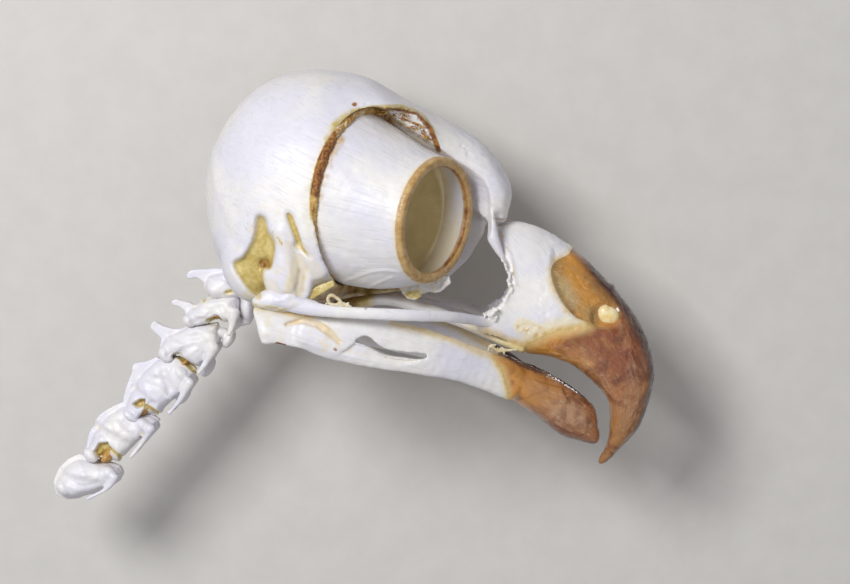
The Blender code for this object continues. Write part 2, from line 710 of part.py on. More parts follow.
def main():
    for obj in list(bpy.data.objects):
        bpy.data.objects.remove(obj)
    head = braincase()
    tube_right = mesh_object("eye_tube_right", [eye_tube()])
    mirrored(tube_right, "eye_tube_left")
    fossa = ball((49.6, -8.8, 2.6), (4.6, 2.6, 3.6), (0, 40, 0))
    upper_bill = part_of("upper_bill", upper_bill_forms(), UPPER_SHEATH_BLOCK, False)
    meet(upper_bill, head)
    upper_sheath = part_of("upper_sheath", upper_bill_forms(), UPPER_SHEATH_BLOCK, True, both(fossa))
    quadrate = bone(
        "quadrate_right",
        [
            ball((6.0, -17.1, 1.2), (2.9, 1.9, 1.5)),
            limb(
                [(6.4, -16.8, 1.2, 1.3, 1.6), (5.4, -16.4, 3.2, 1.1, 1.3), (4.6, -15.8, 5.6, 1.0, 1.1)],
                (1, 0, 0),
            ),
            limb([(7.2, -16.2, 1.2, 1.0, 1.0), (9.6, -13.6, 2.2, 0.6, 1.0), (11.2, -11.4, 3.0, 0.4, 0.8)]),
            limb([(5.6, -18.2, 0.6, 0.9, 0.9), (7.4, -14.4, 0.4, 0.9, 0.9)]),
        ],
        grain=0.4,
        smoothing=2,
    )
    meet(quadrate, head)
    quadrate_left = mirrored(quadrate, "quadrate_left")
    mandible = part_of(
        "mandible",
        lower_bill_forms(),
        LOWER_SHEATH_BLOCK,
        False,
        [limb(LOWER_TROUGH, sides=20)] + both(fenestra()),
        [limb(SYMPHYSIS, sides=12)],
    )
    meet(mandible, quadrate, quadrate_left)
    lower_sheath = part_of(
        "lower_sheath", lower_bill_forms(), LOWER_SHEATH_BLOCK, True, [limb(LOWER_TROUGH, sides=20)]
    )
    meet(lower_sheath, mandible)
    jugal = bone(
        "jugal_right",
        [
            limb(
                [
                    (6.8, -18.5, 1.2, 0.8, 1.1),
                    (9.6, -18.7, 0.3, 0.7, 0.9),
                    (14.0, -18.5, -0.4, 0.55, 0.8),
                    (23.4, -17.6, -0.9, 0.5, 0.85),
                    (30.0, -14.2, -1.5, 0.5, 0.85),
                    (35.4, -10.2, -3.1, 0.55, 0.9),
                    (38.6, -8.3, -4.3, 0.7, 0.9),
                ],
                sides=10,
                steps=2,
            )
        ],
        grain=0.4,
        smoothing=0,
    )
    meet(jugal, head, upper_bill, quadrate, mandible)
    palatine = limb(
        [
            (12.6, -2.9, -1.0, 1.0, 0.6),
            (20.3, -3.8, 0.3, 1.5, 0.8),
            (26.0, -4.3, -0.9, 1.6, 1.0),
            (32.0, -4.6, -3.0, 1.3, 0.8),
            (37.6, -4.9, -5.6, 1.3, 0.6),
            (41.0, -5.0, -6.9, 1.4, 0.6),
        ]
    )
    pterygoid = limb(
        [(13.2, -3.2, -1.0, 0.8, 0.7), (10.4, -8.2, -1.7, 0.6, 0.6), (8.0, -13.8, -0.6, 0.8, 0.7)]
    )
    vomer = limb([(18.0, -3.2, -0.2, 1.0, 0.7), (18.0, 0, -0.4, 1.0, 0.6), (18.0, 3.2, -0.2, 1.0, 0.7)])
    palate = bone("palate", both(palatine, pterygoid) + [vomer], grain=0.42, smoothing=2)
    meet(palate, head, quadrate, quadrate_left, upper_bill, upper_sheath)
    bpy.data.objects.remove(quadrate_left)
    atlas = bone(
        "atlas",
        [
            ball((-0.3, 0, -0.9), (1.2, 3.0, 2.5)),
            limb([(-0.4, 0, -3.0, 1.2, 0.8), (-2.0, 0, -3.6, 0.8, 0.6)]),
        ],
        grain=0.4,
        smoothing=1,
    )
    meet(atlas, head)
    neck = [atlas]
    for row in VERTEBRAE:
        made = vertebra(**row)
        meet(made, *([head] if row["name"] == "axis" else []), neck[-1])
        neck.append(made)
    for name, triangles in TRIANGLES.items():
        for obj in [o for o in bpy.data.objects if o.name.startswith(name)]:
            reduce(obj, triangles)
    mirrored(bpy.data.objects["quadrate_right"], "quadrate_left")
    mirrored(bpy.data.objects["jugal_right"], "jugal_left")
    specimen = bpy.data.objects.new("specimen", None)
    bpy.context.scene.collection.objects.link(specimen)
    specimen.rotation_euler = [math.radians(a) for a in LIE_TURN_DEG]
    specimen.location = [value * MM for value in LIE_SHIFT_MM]
    for obj in list(bpy.data.objects):
        if obj.type != "MESH":
            continue
        obj.parent = specimen
        colour = HORN_AMBER if "sheath" in obj.name else TUBE_WHITE if "tube" in obj.name else BONE_WHITE
        obj.data.materials.clear()
        roughness = 0.35 if "sheath" in obj.name else 0.5
        obj.data.materials.append(material(obj.name + "_surface", colour, roughness))
        for face in obj.data.polygons:
            face.use_smooth = True


main()
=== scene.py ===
import math

import bmesh
import bpy
import numpy as np
from mathutils import Euler, Matrix, Vector
from mathutils.bvhtree import BVHTree


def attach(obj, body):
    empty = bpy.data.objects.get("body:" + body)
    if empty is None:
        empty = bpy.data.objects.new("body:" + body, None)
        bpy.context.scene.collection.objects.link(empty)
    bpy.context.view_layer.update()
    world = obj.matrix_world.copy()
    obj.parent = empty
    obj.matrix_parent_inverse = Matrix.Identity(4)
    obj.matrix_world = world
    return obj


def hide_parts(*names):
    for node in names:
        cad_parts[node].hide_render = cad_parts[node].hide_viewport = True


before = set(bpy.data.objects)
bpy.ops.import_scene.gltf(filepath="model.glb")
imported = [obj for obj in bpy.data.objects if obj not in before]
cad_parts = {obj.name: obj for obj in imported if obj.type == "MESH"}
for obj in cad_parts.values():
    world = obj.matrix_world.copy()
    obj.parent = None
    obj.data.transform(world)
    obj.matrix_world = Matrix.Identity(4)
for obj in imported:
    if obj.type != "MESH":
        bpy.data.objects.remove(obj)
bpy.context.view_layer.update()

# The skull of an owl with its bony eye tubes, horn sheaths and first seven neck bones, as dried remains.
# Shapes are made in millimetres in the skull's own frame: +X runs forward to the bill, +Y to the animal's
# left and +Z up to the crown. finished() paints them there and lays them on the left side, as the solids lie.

MM = 0.001
LIE_TURN_DEG = (-92.84, -3.55, 0.0)
LIE_SHIFT_MM = (-15.012, -2.059, 20.296)

# Camera, in the skull's frame.
CAMERA_TARGET = (26.25, 0.0, 1.2)
CAMERA_DISTANCE = 450.0
CAMERA_YAW_DEG = 2.5
CAMERA_DOWN_DEG = 4.0
SENSOR = 36.0
FRAME_WIDTH = 127.5

# Lights: name, place in the skull's frame, power and size. All of them look at LIGHT_TARGET.
LIGHTS = [
    ("key", (-150, -400, 175), 1.75, 0.16),
    ("fill", (280, -360, -35), 0.30, 0.50),
    ("under", (-20, -300, -325), 0.20, 0.50),
]
LIGHT_TARGET = (20, -8, 5)
SKY_COLOUR = (0.96, 0.95, 1.0, 1)
SKY_STRENGTH = 0.22
FLOOR_REACH = 3.0

# Eye tube: a bony cone that widens backwards into the orbit.
RING_CENTRE = np.array((28.6, -13.5, 12.6))
RING_RADIUS = 9.05
TUBE_AXIS = np.array((0.835, -0.534, -0.133))
TUBE_SIDE = np.array((-0.534, -0.845, 0.0))
TUBE_UP = np.cross(TUBE_SIDE, TUBE_AXIS)
TUBE_LENGTH = 11.6
BASE_OFFSET = (3.9, 1.4)
BASE_RADII = (10.6, 12.7)
TUBE_FLARE = 1.12
TUBE_BELLY = 0.9
TUBE_SIDES = 288
FUNDUS_LEVEL = -3.7
FUNDUS_DEPTH = 3.2
FUNDUS_ROWS = 40
FUNDUS_THICKNESS = 0.25
DOME_DEPTH = 7.5

# Voxel sizes at which the main forms are fused.
BRAINCASE_GRAIN = 0.27
ORBIT_GRAIN = 0.3
BILL_GRAIN = 0.2
NECK_GRAIN = 0.16

# Edges sharper than this stay sharp on the bill, where horn and bone meet.
SHEATH_CREASE_DEG = 80
# Steps between two stations of a smooth curve, and how far cuts run to each side of the middle plane.
STEPS = 9
CUT_REACH = 30
# How far a bar's rounded ends reach, as a share of its half size there.
BLUNT = 0.7
# Sets of waves in a ripple, each half as long and half as high as the one before.
OCTAVES = 3


def turned(degrees):
    """The rotation by degrees about X, Y and Z."""
    return Euler([math.radians(a) for a in degrees]).to_matrix()


LIE = Matrix.Translation(Vector(LIE_SHIFT_MM) * MM) @ turned(LIE_TURN_DEG).to_4x4()


# Forms: pairs of points (millimetres) and faces.


def through(rows, steps=STEPS):
    """Rows of numbers on a smooth curve through the given rows, with so many steps between two of them."""
    rows = np.array(rows, float)
    padded = np.vstack((2 * rows[0] - rows[1], rows, 2 * rows[-1] - rows[-2]))
    out = []
    for i in range(len(rows) - 1):
        a, b, c, d = padded[i : i + 4]
        for k in range(steps):
            t = k / steps
            square, cube = 2 * a - 5 * b + 4 * c - d, 3 * b - a - 3 * c + d
            out.append(0.5 * (2 * b + (c - a) * t + square * t**2 + cube * t**3))
    out.append(rows[-1])
    return np.array(out)


def outward(form):
    """The form with its faces pointing out."""
    points, faces = form
    volume = sum(
        np.dot(points[f[0]], np.cross(points[f[k]], points[f[k + 1]]))
        for f in faces
        for k in range(1, len(f) - 1)
    )
    return (points, faces) if volume > 0 else (points, [tuple(reversed(f)) for f in faces])


def skin(rings):
    """A closed form over a row of rings with equal numbers of points, with a fan at each end."""
    rings = [np.array(ring, float) for ring in rings]
    sides = len(rings[0])
    points = np.vstack(rings + [rings[0].mean(0)[None], rings[-1].mean(0)[None]])
    first, last = len(points) - 2, len(points) - 1
    faces = []
    for r in range(len(rings) - 1):
        for k in range(sides):
            a, b = r * sides + k, r * sides + (k + 1) % sides
            faces.append((a, b, b + sides, a + sides))
    top = (len(rings) - 1) * sides
    for k in range(sides):
        faces.append((first, (k + 1) % sides, k))
        faces.append((last, top + k, top + (k + 1) % sides))
    return outward((points, faces))


def ribs(stations, sides=96, square=2.0, keel=2.0):
    """A form symmetric about the middle plane, over stations of
    (upper x, upper z, lower x, lower z, half width, share of the height where it is widest).
    square and keel are the superellipse powers of the upper and lower halves."""
    angles = np.linspace(0, 2 * math.pi, sides, endpoint=False)
    upward = np.cos(angles) > 0
    power = 2 / np.where(upward, square, keel)
    along = np.abs(np.cos(angles)) ** power
    across = np.copysign(np.abs(np.sin(angles)) ** power, np.sin(angles))
    rings = []
    for ux, uz, lx, lz, half, widest in through(stations):
        upper, lower = np.array((ux, uz)), np.array((lx, lz))
        middle = lower + (upper - lower) * widest
        ends = np.where(upward[:, None], upper - middle, lower - middle)
        flat = middle + along[:, None] * ends
        rings.append(np.column_stack((flat[:, 0], half * across, flat[:, 1])))
    return skin(rings)


def limb(stations, up=(0, 0, 1), sides=24, steps=STEPS):
    """A bar through stations of (x, y, z, half size across, half size along up), with rounded ends."""
    rows = through(stations, steps)
    centres = rows[:, :3]
    run = np.gradient(centres, axis=0)
    run /= np.linalg.norm(run, axis=1)[:, None]
    angles = np.linspace(0, 2 * math.pi, sides, endpoint=False)
    up = np.array(up, float)

    def ring(index, shift, scale):
        across = np.cross(run[index], up)
        across /= np.linalg.norm(across)
        tall = np.cross(across, run[index])
        centre = centres[index] + run[index] * shift
        wide = np.cos(angles)[:, None] * across * rows[index, 3] * scale
        return centre + wide + np.sin(angles)[:, None] * tall * rows[index, 4] * scale

    start, end = min(rows[0, 3:]) * BLUNT, min(rows[-1, 3:]) * BLUNT
    caps = ((1.0, 0.2), (0.92, 0.45), (0.7, 0.72), (0.4, 0.9))
    rings = [ring(0, -start * shift, scale) for shift, scale in caps]
    rings += [ring(i, 0, 1) for i in range(len(rows))]
    rings += [ring(-1, end * shift, scale) for shift, scale in reversed(caps)]
    return skin(rings)


def ball(centre, radii, turn=(0, 0, 0)):
    """An ellipsoid, turned by degrees about X, Y and Z."""
    shape = bmesh.new()
    bmesh.ops.create_uvsphere(shape, u_segments=32, v_segments=20, radius=1)
    spin = turned(turn)
    points = np.array([spin @ Vector([v.co[i] * radii[i] for i in range(3)]) for v in shape.verts])
    faces = [tuple(v.index for v in f.verts) for f in shape.faces]
    shape.free()
    return outward((points + np.array(centre), faces))


def slab(outline, low, high):
    """An outline of (x, z) points, made solid from y = low to y = high."""
    rings = [[(x, y, z) for x, z in outline] for y in (low, high)]
    count = len(outline)
    points = np.array(rings[0] + rings[1], float)
    faces = [tuple(range(count)), tuple(range(2 * count - 1, count - 1, -1))]
    for k in range(count):
        n = (k + 1) % count
        faces.append((n, k, k + count, n + count))
    return outward((points, faces))


def pillow(outline, wide):
    """An outline of (x, z) points that swells out to both sides with rounded borders."""
    outline = np.array(outline, float)
    middle = outline.mean(0)
    rings = []
    for share in np.linspace(-0.985, 0.985, 19):
        flat = middle + (outline - middle) * (1 - abs(share) ** 3) ** 0.42
        rings.append([(x, share * wide, z) for x, z in flat])
    return skin(rings)


def rounded(outline, steps=4):
    """A closed outline of (x, z) points drawn again as one smooth curve through them."""
    rows = through(list(outline[-2:]) + list(outline) + list(outline[:2]), steps)
    return [tuple(row) for row in rows[2 * steps : (len(outline) + 2) * steps]]


def hull(points):
    """The convex form round a cloud of points."""
    shape = bmesh.new()
    for p in points:
        shape.verts.new(p)
    made = bmesh.ops.convex_hull(shape, input=shape.verts)
    kept = {v for face in made["geom"] if isinstance(face, bmesh.types.BMFace) for v in face.verts}
    loose = [v for v in shape.verts if v not in kept]
    bmesh.ops.delete(shape, geom=loose, context="VERTS")
    shape.verts.index_update()
    form = (np.array([v.co[:] for v in shape.verts]), [tuple(v.index for v in f.verts) for f in shape.faces])
    shape.free()
    return outward(form)


def left(form):
    """The form mirrored to the animal's left side."""
    points, faces = form
    return points * np.array((1, -1, 1)), [tuple(reversed(f)) for f in faces]


def both(*forms):
    """The forms and their mirror images."""
    return list(forms) + [left(form) for form in forms]


def torn(outline, step, amount, seed):
    """An outline of (x, z) points with a frayed edge between its second and its last-but-one point."""
    pick = np.random.default_rng(seed)
    rows = [outline[0]]
    for a, b in zip(outline[1:-2], outline[2:-1]):
        a, b = np.array(a, float), np.array(b, float)
        count = max(1, int(np.linalg.norm(b - a) / step))
        for k in range(count):
            rows.append(tuple(a + (b - a) * k / count + pick.normal(size=2) * amount))
    return rows + list(outline[-2:])


def crumbs(line, count, reach, sizes, low, high, seed):
    """Small uneven grains strewn along a line of (x, z) points, between y = low and y = high."""
    pick = np.random.default_rng(seed)
    rows = through(line, 6)
    made = []
    for _ in range(count):
        x, z = rows[pick.integers(len(rows))] + pick.normal(size=2) * reach
        y = pick.uniform(low, high)
        radii = pick.uniform(*sizes, size=3)
        made.append(ball((x, y, z), radii, pick.uniform(0, 180, size=3)))
    return made


# Meshes.


def added(name, data):
    """A new object in the scene."""
    obj = bpy.data.objects.new(name, data)
    bpy.context.scene.collection.objects.link(obj)
    return obj


def raw_object(name, points, faces):
    mesh = bpy.data.meshes.new(name)
    mesh.from_pydata(points, [], faces)
    return added(name, mesh)


def mesh_object(name, forms):
    """One object of several closed forms, in metres."""
    points, faces = [], []
    for form_points, form_faces in forms:
        base = len(points)
        points.extend((form_points * MM).tolist())
        faces.extend([tuple(i + base for i in f) for f in form_faces])
    return raw_object(name, points, faces)


def settle(obj, largest=False):
    """Applies the object's modifiers, and with largest drops its small loose surfaces."""
    bpy.context.view_layer.update()
    graph = bpy.context.evaluated_depsgraph_get()
    mesh = bpy.data.meshes.new_from_object(obj.evaluated_get(graph))
    obj.modifiers.clear()
    obj.data = mesh
    if largest:
        keep_largest(obj)
    return obj


def keep_largest(obj):
    """Removes the object's loose surfaces that are far smaller than its largest one."""
    count = len(obj.data.vertices)
    ends = edge_ends(obj)
    label = np.arange(count)
    while True:
        lower = np.minimum(label[ends[:, 0]], label[ends[:, 1]])
        fresh = label.copy()
        np.minimum.at(fresh, ends[:, 0], lower)
        np.minimum.at(fresh, ends[:, 1], lower)
        fresh = fresh[fresh]
        if np.array_equal(fresh, label):
            break
        label = fresh
    counts = np.bincount(label)
    small = counts[label] < 0.1 * counts.max()
    if not small.any():
        return
    shape = bmesh.new()
    shape.from_mesh(obj.data)
    shape.verts.ensure_lookup_table()
    bmesh.ops.delete(shape, geom=[shape.verts[i] for i in np.nonzero(small)[0]], context="VERTS")
    shape.to_mesh(obj.data)
    shape.free()


def remesh(obj, grain):
    """Fuses all that overlaps in the object into one even surface."""
    modifier = obj.modifiers.new("Fuse", "REMESH")
    modifier.mode = "VOXEL"
    modifier.voxel_size = grain * MM


def soften(obj, times):
    modifier = obj.modifiers.new("Smooth", "SMOOTH")
    modifier.factor = 0.5
    modifier.iterations = times


def shaped(obj, grain, smoothing, largest=False):
    """Fuses and smooths the object."""
    remesh(obj, grain)
    soften(obj, smoothing)
    return settle(obj, largest)


def cut(obj, forms, operation="DIFFERENCE", grain=None):
    """Cuts the object by closed forms. Forms that overlap each other are fused first, at the given grain."""
    cutter = mesh_object("cutter", forms)
    if grain:
        remesh(cutter, grain)
        settle(cutter)
    modifier = obj.modifiers.new("Cut", "BOOLEAN")
    modifier.operation = operation
    modifier.object = cutter
    settle(obj)
    bpy.data.objects.remove(cutter)


def fused(name, forms, grain, smoothing=4, largest=True):
    """One object: forms fused into one surface, and smoothed."""
    obj = mesh_object(name, forms)
    remesh(obj, grain)
    settle(obj)
    soften(obj, smoothing)
    return settle(obj, largest)


def sheet(name, grid, thickness):
    """A thin closed sheet over rows of points."""
    width = len(grid[0])
    points = [tuple(point * MM) for row in grid for point in row]
    corners = [r * width + k for r in range(len(grid) - 1) for k in range(width - 1)]
    obj = raw_object(name, points, [(c, c + 1, c + width + 1, c + width) for c in corners])
    solid = obj.modifiers.new("Thick", "SOLIDIFY")
    solid.thickness = thickness * MM
    solid.offset = 0
    return settle(obj)


def mirrored(obj, name):
    """The same piece on the animal's left side."""
    mesh = obj.data.copy()
    mesh.transform(Matrix.Diagonal((1, -1, 1, 1)))
    mesh.flip_normals()
    return added(name, mesh)


def joined(obj, other):
    """Adds the other object's mesh to the object's and removes the other."""
    shape = bmesh.new()
    shape.from_mesh(obj.data)
    shape.from_mesh(other.data)
    shape.to_mesh(obj.data)
    shape.free()
    bpy.data.objects.remove(other)


def split(obj, block, keep, name):
    """A copy of the object, less what lies outside the block (keep) or inside it."""
    copy = added(name, obj.data.copy())
    cut(copy, [slab(block, -CUT_REACH, CUT_REACH)], "INTERSECT" if keep else "DIFFERENCE")
    keep_largest(copy)
    return copy


# Measures on a mesh's vertices, in millimetres.


def read(rows, key, width, kind=float):
    """Numbers of a mesh's vertices or edges, a row for each."""
    found = np.empty(len(rows) * width, kind)
    rows.foreach_get(key, found)
    return found.reshape(-1, width)


def places(obj):
    return read(obj.data.vertices, "co", 3) / MM


def normals(obj):
    return read(obj.data.vertices, "normal", 3)


def edge_ends(obj):
    return read(obj.data.edges, "vertices", 2, np.int32)


def move(obj, points):
    obj.data.vertices.foreach_set("co", (points * MM).ravel())
    obj.data.update()


def lift(obj, rise):
    """Moves each vertex along its normal, and gives the new places."""
    move(obj, places(obj) + normals(obj) * rise[:, None])
    return places(obj)


def blurred(values, ends, times):
    """Values evened out over the mesh's edges."""
    a, b = ends[:, 0], ends[:, 1]
    count = len(values)
    near = np.bincount(a, minlength=count) + np.bincount(b, minlength=count) + 1
    for _ in range(times):
        total = values + np.bincount(a, values[b], count) + np.bincount(b, values[a], count)
        values = total / near
    return values


def hollows(obj, times):
    """How far each vertex lies below its surroundings."""
    points, ends = places(obj), edge_ends(obj)
    around = np.column_stack([blurred(points[:, k].copy(), ends, times) for k in range(3)])
    return ((around - points) * normals(obj)).sum(1)


def smoothstep(value, low, high):
    t = np.clip((value - low) / (high - low), 0, 1)
    return t * t * (3 - 2 * t)


def most(*masks):
    """The strongest of the masks at each point."""
    best = masks[0]
    for mask in masks[1:]:
        best = np.maximum(best, mask)
    return best


def stroke(points, line, soft):
    """1 on a line of (x, z, half width) points seen from the side, falling to 0 over soft."""
    flat = points[:, (0, 2)]
    best = np.full(len(flat), 1e9)
    for a, b in zip(line[:-1], line[1:]):
        start, run = np.array(a[:2]), np.array(b[:2]) - np.array(a[:2])
        share = np.clip((flat - start) @ run / (run @ run), 0, 1)
        width = a[2] + (b[2] - a[2]) * share
        best = np.minimum(best, np.linalg.norm(flat - start - share[:, None] * run, axis=1) - width)
    return 1 - smoothstep(best, 0, soft)


def strokes(points, lines, soft):
    return most(*[stroke(points, line, soft) for line in lines])


def spot(points, x, z, width, soft, length=0.01):
    """1 on a short level mark at x, z seen from the side."""
    return stroke(points, [(x, z, width), (x + length, z, width)], soft)


def near(points, line, extra, soft):
    """1 within the half width (plus extra) of a line of (x, y, z, half width) points, 0 beyond soft."""
    best = np.full(len(points), 1e9)
    for *place, width in line:
        best = np.minimum(best, np.linalg.norm(points - place, axis=1) - width)
    return 1 - smoothstep(best, extra, extra + soft)


def region(points, outline, soft):
    """1 inside an outline of (x, z) points seen from the side, 0 outside, over a soft edge."""
    flat = points[:, (0, 2)]
    within = np.zeros(len(flat), bool)
    best = np.full(len(flat), 1e9)
    for a, b in zip(outline, outline[1:] + outline[:1]):
        a, b = np.array(a[:2], float), np.array(b[:2], float)
        run = b - a
        share = np.clip((flat - a) @ run / (run @ run), 0, 1)
        best = np.minimum(best, np.linalg.norm(flat - a - share[:, None] * run, axis=1))
        crosses = (a[1] > flat[:, 1]) != (b[1] > flat[:, 1])
        slope = run[0] / run[1] if run[1] else 0.0
        within ^= crosses & (flat[:, 0] < a[0] + (flat[:, 1] - a[1]) * slope)
    return smoothstep(np.where(within, best, -best), -soft / 2, soft / 2)


def tinted(points, base, areas):
    """The base colour at each point, with areas of (outline, colour, soft edge, strength) laid over it."""
    colour = np.broadcast_to(base, (len(points), 3)).copy()
    for outline, shade, soft, strength in areas:
        mask = (region(points, outline, soft) * strength)[:, None]
        colour = colour * (1 - mask) + np.array(shade) * mask
    return colour


def ripple(points, size, seed):
    """Smooth unevenness between about -1 and 1, with lumps so many millimetres across."""
    pick = np.random.default_rng(seed)
    total = np.zeros(len(points))
    for octave in range(OCTAVES):
        for _ in range(7):
            way = pick.normal(size=3)
            way /= np.linalg.norm(way)
            bend = pick.normal(size=3) / size
            phase = pick.uniform(0, 2 * math.pi, size=2)
            turn = 2 * math.pi / size * 2**octave
            sway = 1.3 * np.sin(points @ bend * 3 + phase[1])
            total += np.sin(points @ way * turn + phase[0] + sway) / 2**octave
    return total / 4.2


def patchy(points, size, seed, low, high):
    """A mask in patches about size across: 0 where the ripple is low, 1 where it is high."""
    return smoothstep(ripple(points, size, seed), low, high)


def surface_tree(obj):
    points = [Vector(p) for p in places(obj)]
    return BVHTree.FromPolygons(points, [tuple(f.vertices) for f in obj.data.polygons])


def right(points):
    """The points as if all of them were on the animal's right side."""
    return points * np.where(points[:, 1:2] > 0, np.array((1, -1, 1)), 1)


# Materials.


class Surface:
    """A node material on a Principled shader. Four painted masks reach it as the mesh attribute 'stain':
    red is dried tissue, and in places painted shade; green is dark blood or horn, and in places painted shade
    and a painted dark reflection; blue is a creamy tint, and on the eye skin a painted highlight; alpha is
    where horn is rubbed pale. 'flow' runs along the grain."""

    def __init__(self, name, **constants):
        self.material = bpy.data.materials.new(name)
        self.material.use_nodes = True
        self.tree = self.material.node_tree
        self.shader = self.tree.nodes["Principled BSDF"]
        for key, value in constants.items():
            self.shader.inputs[key.replace("_", " ")].default_value = value
        self.place = self.node("ShaderNodeTexCoord").outputs["Object"]
        self.flow = self.painted("flow").outputs["Vector"]
        stain_and_shade = self.painted("stain_and_shade")
        split_stain = self.node("ShaderNodeSeparateColor")
        self.link(stain_and_shade.outputs["Color"], split_stain.inputs[0])
        self.tissue, self.dark, self.cream = split_stain.outputs
        self.rubbed = stain_and_shade.outputs["Alpha"]

    def node(self, kind, **settings):
        made = self.tree.nodes.new(kind)
        for key, value in settings.items():
            setattr(made, key, value)
        return made

    def painted(self, name):
        return self.node("ShaderNodeAttribute", attribute_name=name)

    def link(self, a, b):
        if hasattr(a, "is_output"):
            self.tree.links.new(a, b)
        elif isinstance(a, tuple):
            b.default_value = (*a, 1.0) if len(b.default_value) == 4 else a
        else:
            b.default_value = a

    def fed(self, made, **values):
        """The node with its named inputs linked or set."""
        for key, value in values.items():
            self.link(value, made.inputs[key])
        return made

    def mapped(self, place, shift, scale=(1.0, 1.0, 1.0)):
        mapping = self.node("ShaderNodeMapping")
        return self.fed(mapping, Vector=place, Location=shift, Scale=scale).outputs[0]

    def noise(self, scale, detail, roughness, stretch=None, distortion=0.0, seed=0.0):
        """Noise in 0..1. Scale counts lumps in a metre, or in a unit of flow where stretch is given."""
        shift = (seed, seed * 0.7, seed * 1.3)
        place = self.mapped(self.flow, shift, stretch) if stretch else self.mapped(self.place, shift)
        made = self.node("ShaderNodeTexNoise")
        self.fed(made, Vector=place, Scale=scale, Detail=detail, Roughness=roughness, Distortion=distortion)
        return made.outputs["Fac"]

    def spots(self, scale, size, seed):
        """Small round spots, 1 at their middle."""
        made = self.node("ShaderNodeTexVoronoi")
        self.fed(made, Vector=self.mapped(self.place, (seed, seed, seed)), Scale=scale)
        return self.span(made.outputs["Distance"], size, 0.0)

    def span(self, value, low, high, to_low=0.0, to_high=1.0):
        """Value from low..high to to_low..to_high, kept within them."""
        made = self.node("ShaderNodeMapRange", interpolation_type="SMOOTHSTEP")
        if low > high:
            low, high, to_low, to_high = high, low, to_high, to_low
        for index, entry in enumerate((value, low, high, to_low, to_high)):
            self.link(entry, made.inputs[index])
        return made.outputs[0]

    def calc(self, operation, *values):
        made = self.node("ShaderNodeMath", operation=operation)
        for index, value in enumerate(values):
            self.link(value, made.inputs[index])
        return made.outputs[0]

    def plus(self, a, b):
        return self.calc("ADD", a, b)

    def less(self, a, b):
        return self.calc("SUBTRACT", a, b)

    def times(self, a, b):
        return self.calc("MULTIPLY", a, b)

    def mix(self, factor, a, b):
        made = self.node("ShaderNodeMix", data_type="RGBA", blend_type="MIX")
        self.link(factor, made.inputs[0])
        self.link(a, made.inputs[6])
        self.link(b, made.inputs[7])
        return made.outputs[2]

    def broken(self, mask, noise, amount):
        """A painted mask with an uneven edge."""
        pushed = self.calc("MULTIPLY_ADD", noise, amount, -amount / 2)
        return self.span(self.plus(mask, pushed), 0.2, 0.8)

    def close(self, colour, roughness, height, strength, distance):
        """Links colour and roughness, and bumps the surface by height, in metres of distance."""
        bump = self.fed(self.node("ShaderNodeBump"), Strength=strength, Distance=distance, Height=height)
        self.link(bump.outputs[0], self.shader.inputs["Normal"])
        self.link(colour, self.shader.inputs["Base Color"])
        self.link(roughness, self.shader.inputs["Roughness"])
        return self.material


BONE_COOL = (0.75, 0.74, 0.82)
BONE_WARM = (0.84, 0.82, 0.79)
BONE_MOTTLE = (0.66, 0.66, 0.72)
BONE_HAIRLINE = (0.58, 0.56, 0.58)
CREAM = (0.80, 0.70, 0.47)
TISSUE = (0.50, 0.37, 0.10)
TISSUE_PALE = (0.69, 0.57, 0.25)
TISSUE_FIBRE = (0.72, 0.62, 0.42)
TISSUE_CREAM = (0.80, 0.74, 0.60)
RIM_BROWN = (0.45, 0.26, 0.09)
RIM_TAN = (0.64, 0.44, 0.19)
BORDER_GOLD = (0.72, 0.50, 0.20)
STAIN_GOLD = (0.62, 0.41, 0.13)
STAIN_PALE = (0.78, 0.60, 0.30)
DRIED_DARK = (0.18, 0.055, 0.014)
DRIED_BROWN = (0.40, 0.17, 0.04)
HORN_GOLD = (0.64, 0.27, 0.035)
HORN_BROWN = (0.38, 0.125, 0.025)
HORN_TIP = (0.37, 0.165, 0.045)
HORN_RED = (0.25, 0.06, 0.018)
HORN_PINK = (0.45, 0.205, 0.09)
HORN_OLIVE = (0.30, 0.20, 0.075)
HORN_AMBER = (0.62, 0.28, 0.045)
HORN_PATCH = (0.78, 0.40, 0.10)
HORN_BLACK = (0.040, 0.012, 0.012)
TOMIUM_GOLD = (0.66, 0.32, 0.06)
FOSSA_PALE = (0.50, 0.38, 0.20)
FOSSA_TAN = (0.42, 0.24, 0.07)
FOSSA_DEEP = (0.36, 0.13, 0.035)
FOSSA_SCRATCH = (0.76, 0.55, 0.27)
LOWER_BROWN = (0.38, 0.15, 0.055)
LOWER_GOLD = (0.66, 0.27, 0.035)
LOWER_DARK = (0.26, 0.08, 0.03)
LOWER_TAN = (0.52, 0.31, 0.17)
FUNDUS_DEEP = (0.50, 0.38, 0.16)
FUNDUS_TAN = (0.59, 0.46, 0.21)
FUNDUS_CREASE = (0.26, 0.19, 0.08)
FUNDUS_EDGE_HIGHLIGHT = (0.78, 0.66, 0.40)
PAPER_DARK = (0.62, 0.605, 0.575)
PAPER_LIGHT = (0.65, 0.635, 0.605)

# Pairs of a pale and a deep colour: rubbed and mottled horn, and dried tissue.
UPPER_HORN = ((0.76, 0.56, 0.37), (0.15, 0.036, 0.012))
LOWER_HORN = ((0.70, 0.50, 0.32), (0.13, 0.034, 0.012))
AMBER = ((0.66, 0.43, 0.14), (0.42, 0.20, 0.045))
SHRED = ((0.78, 0.72, 0.58), (0.62, 0.50, 0.28))
PASTE = ((0.90, 0.79, 0.50), (0.84, 0.62, 0.24))


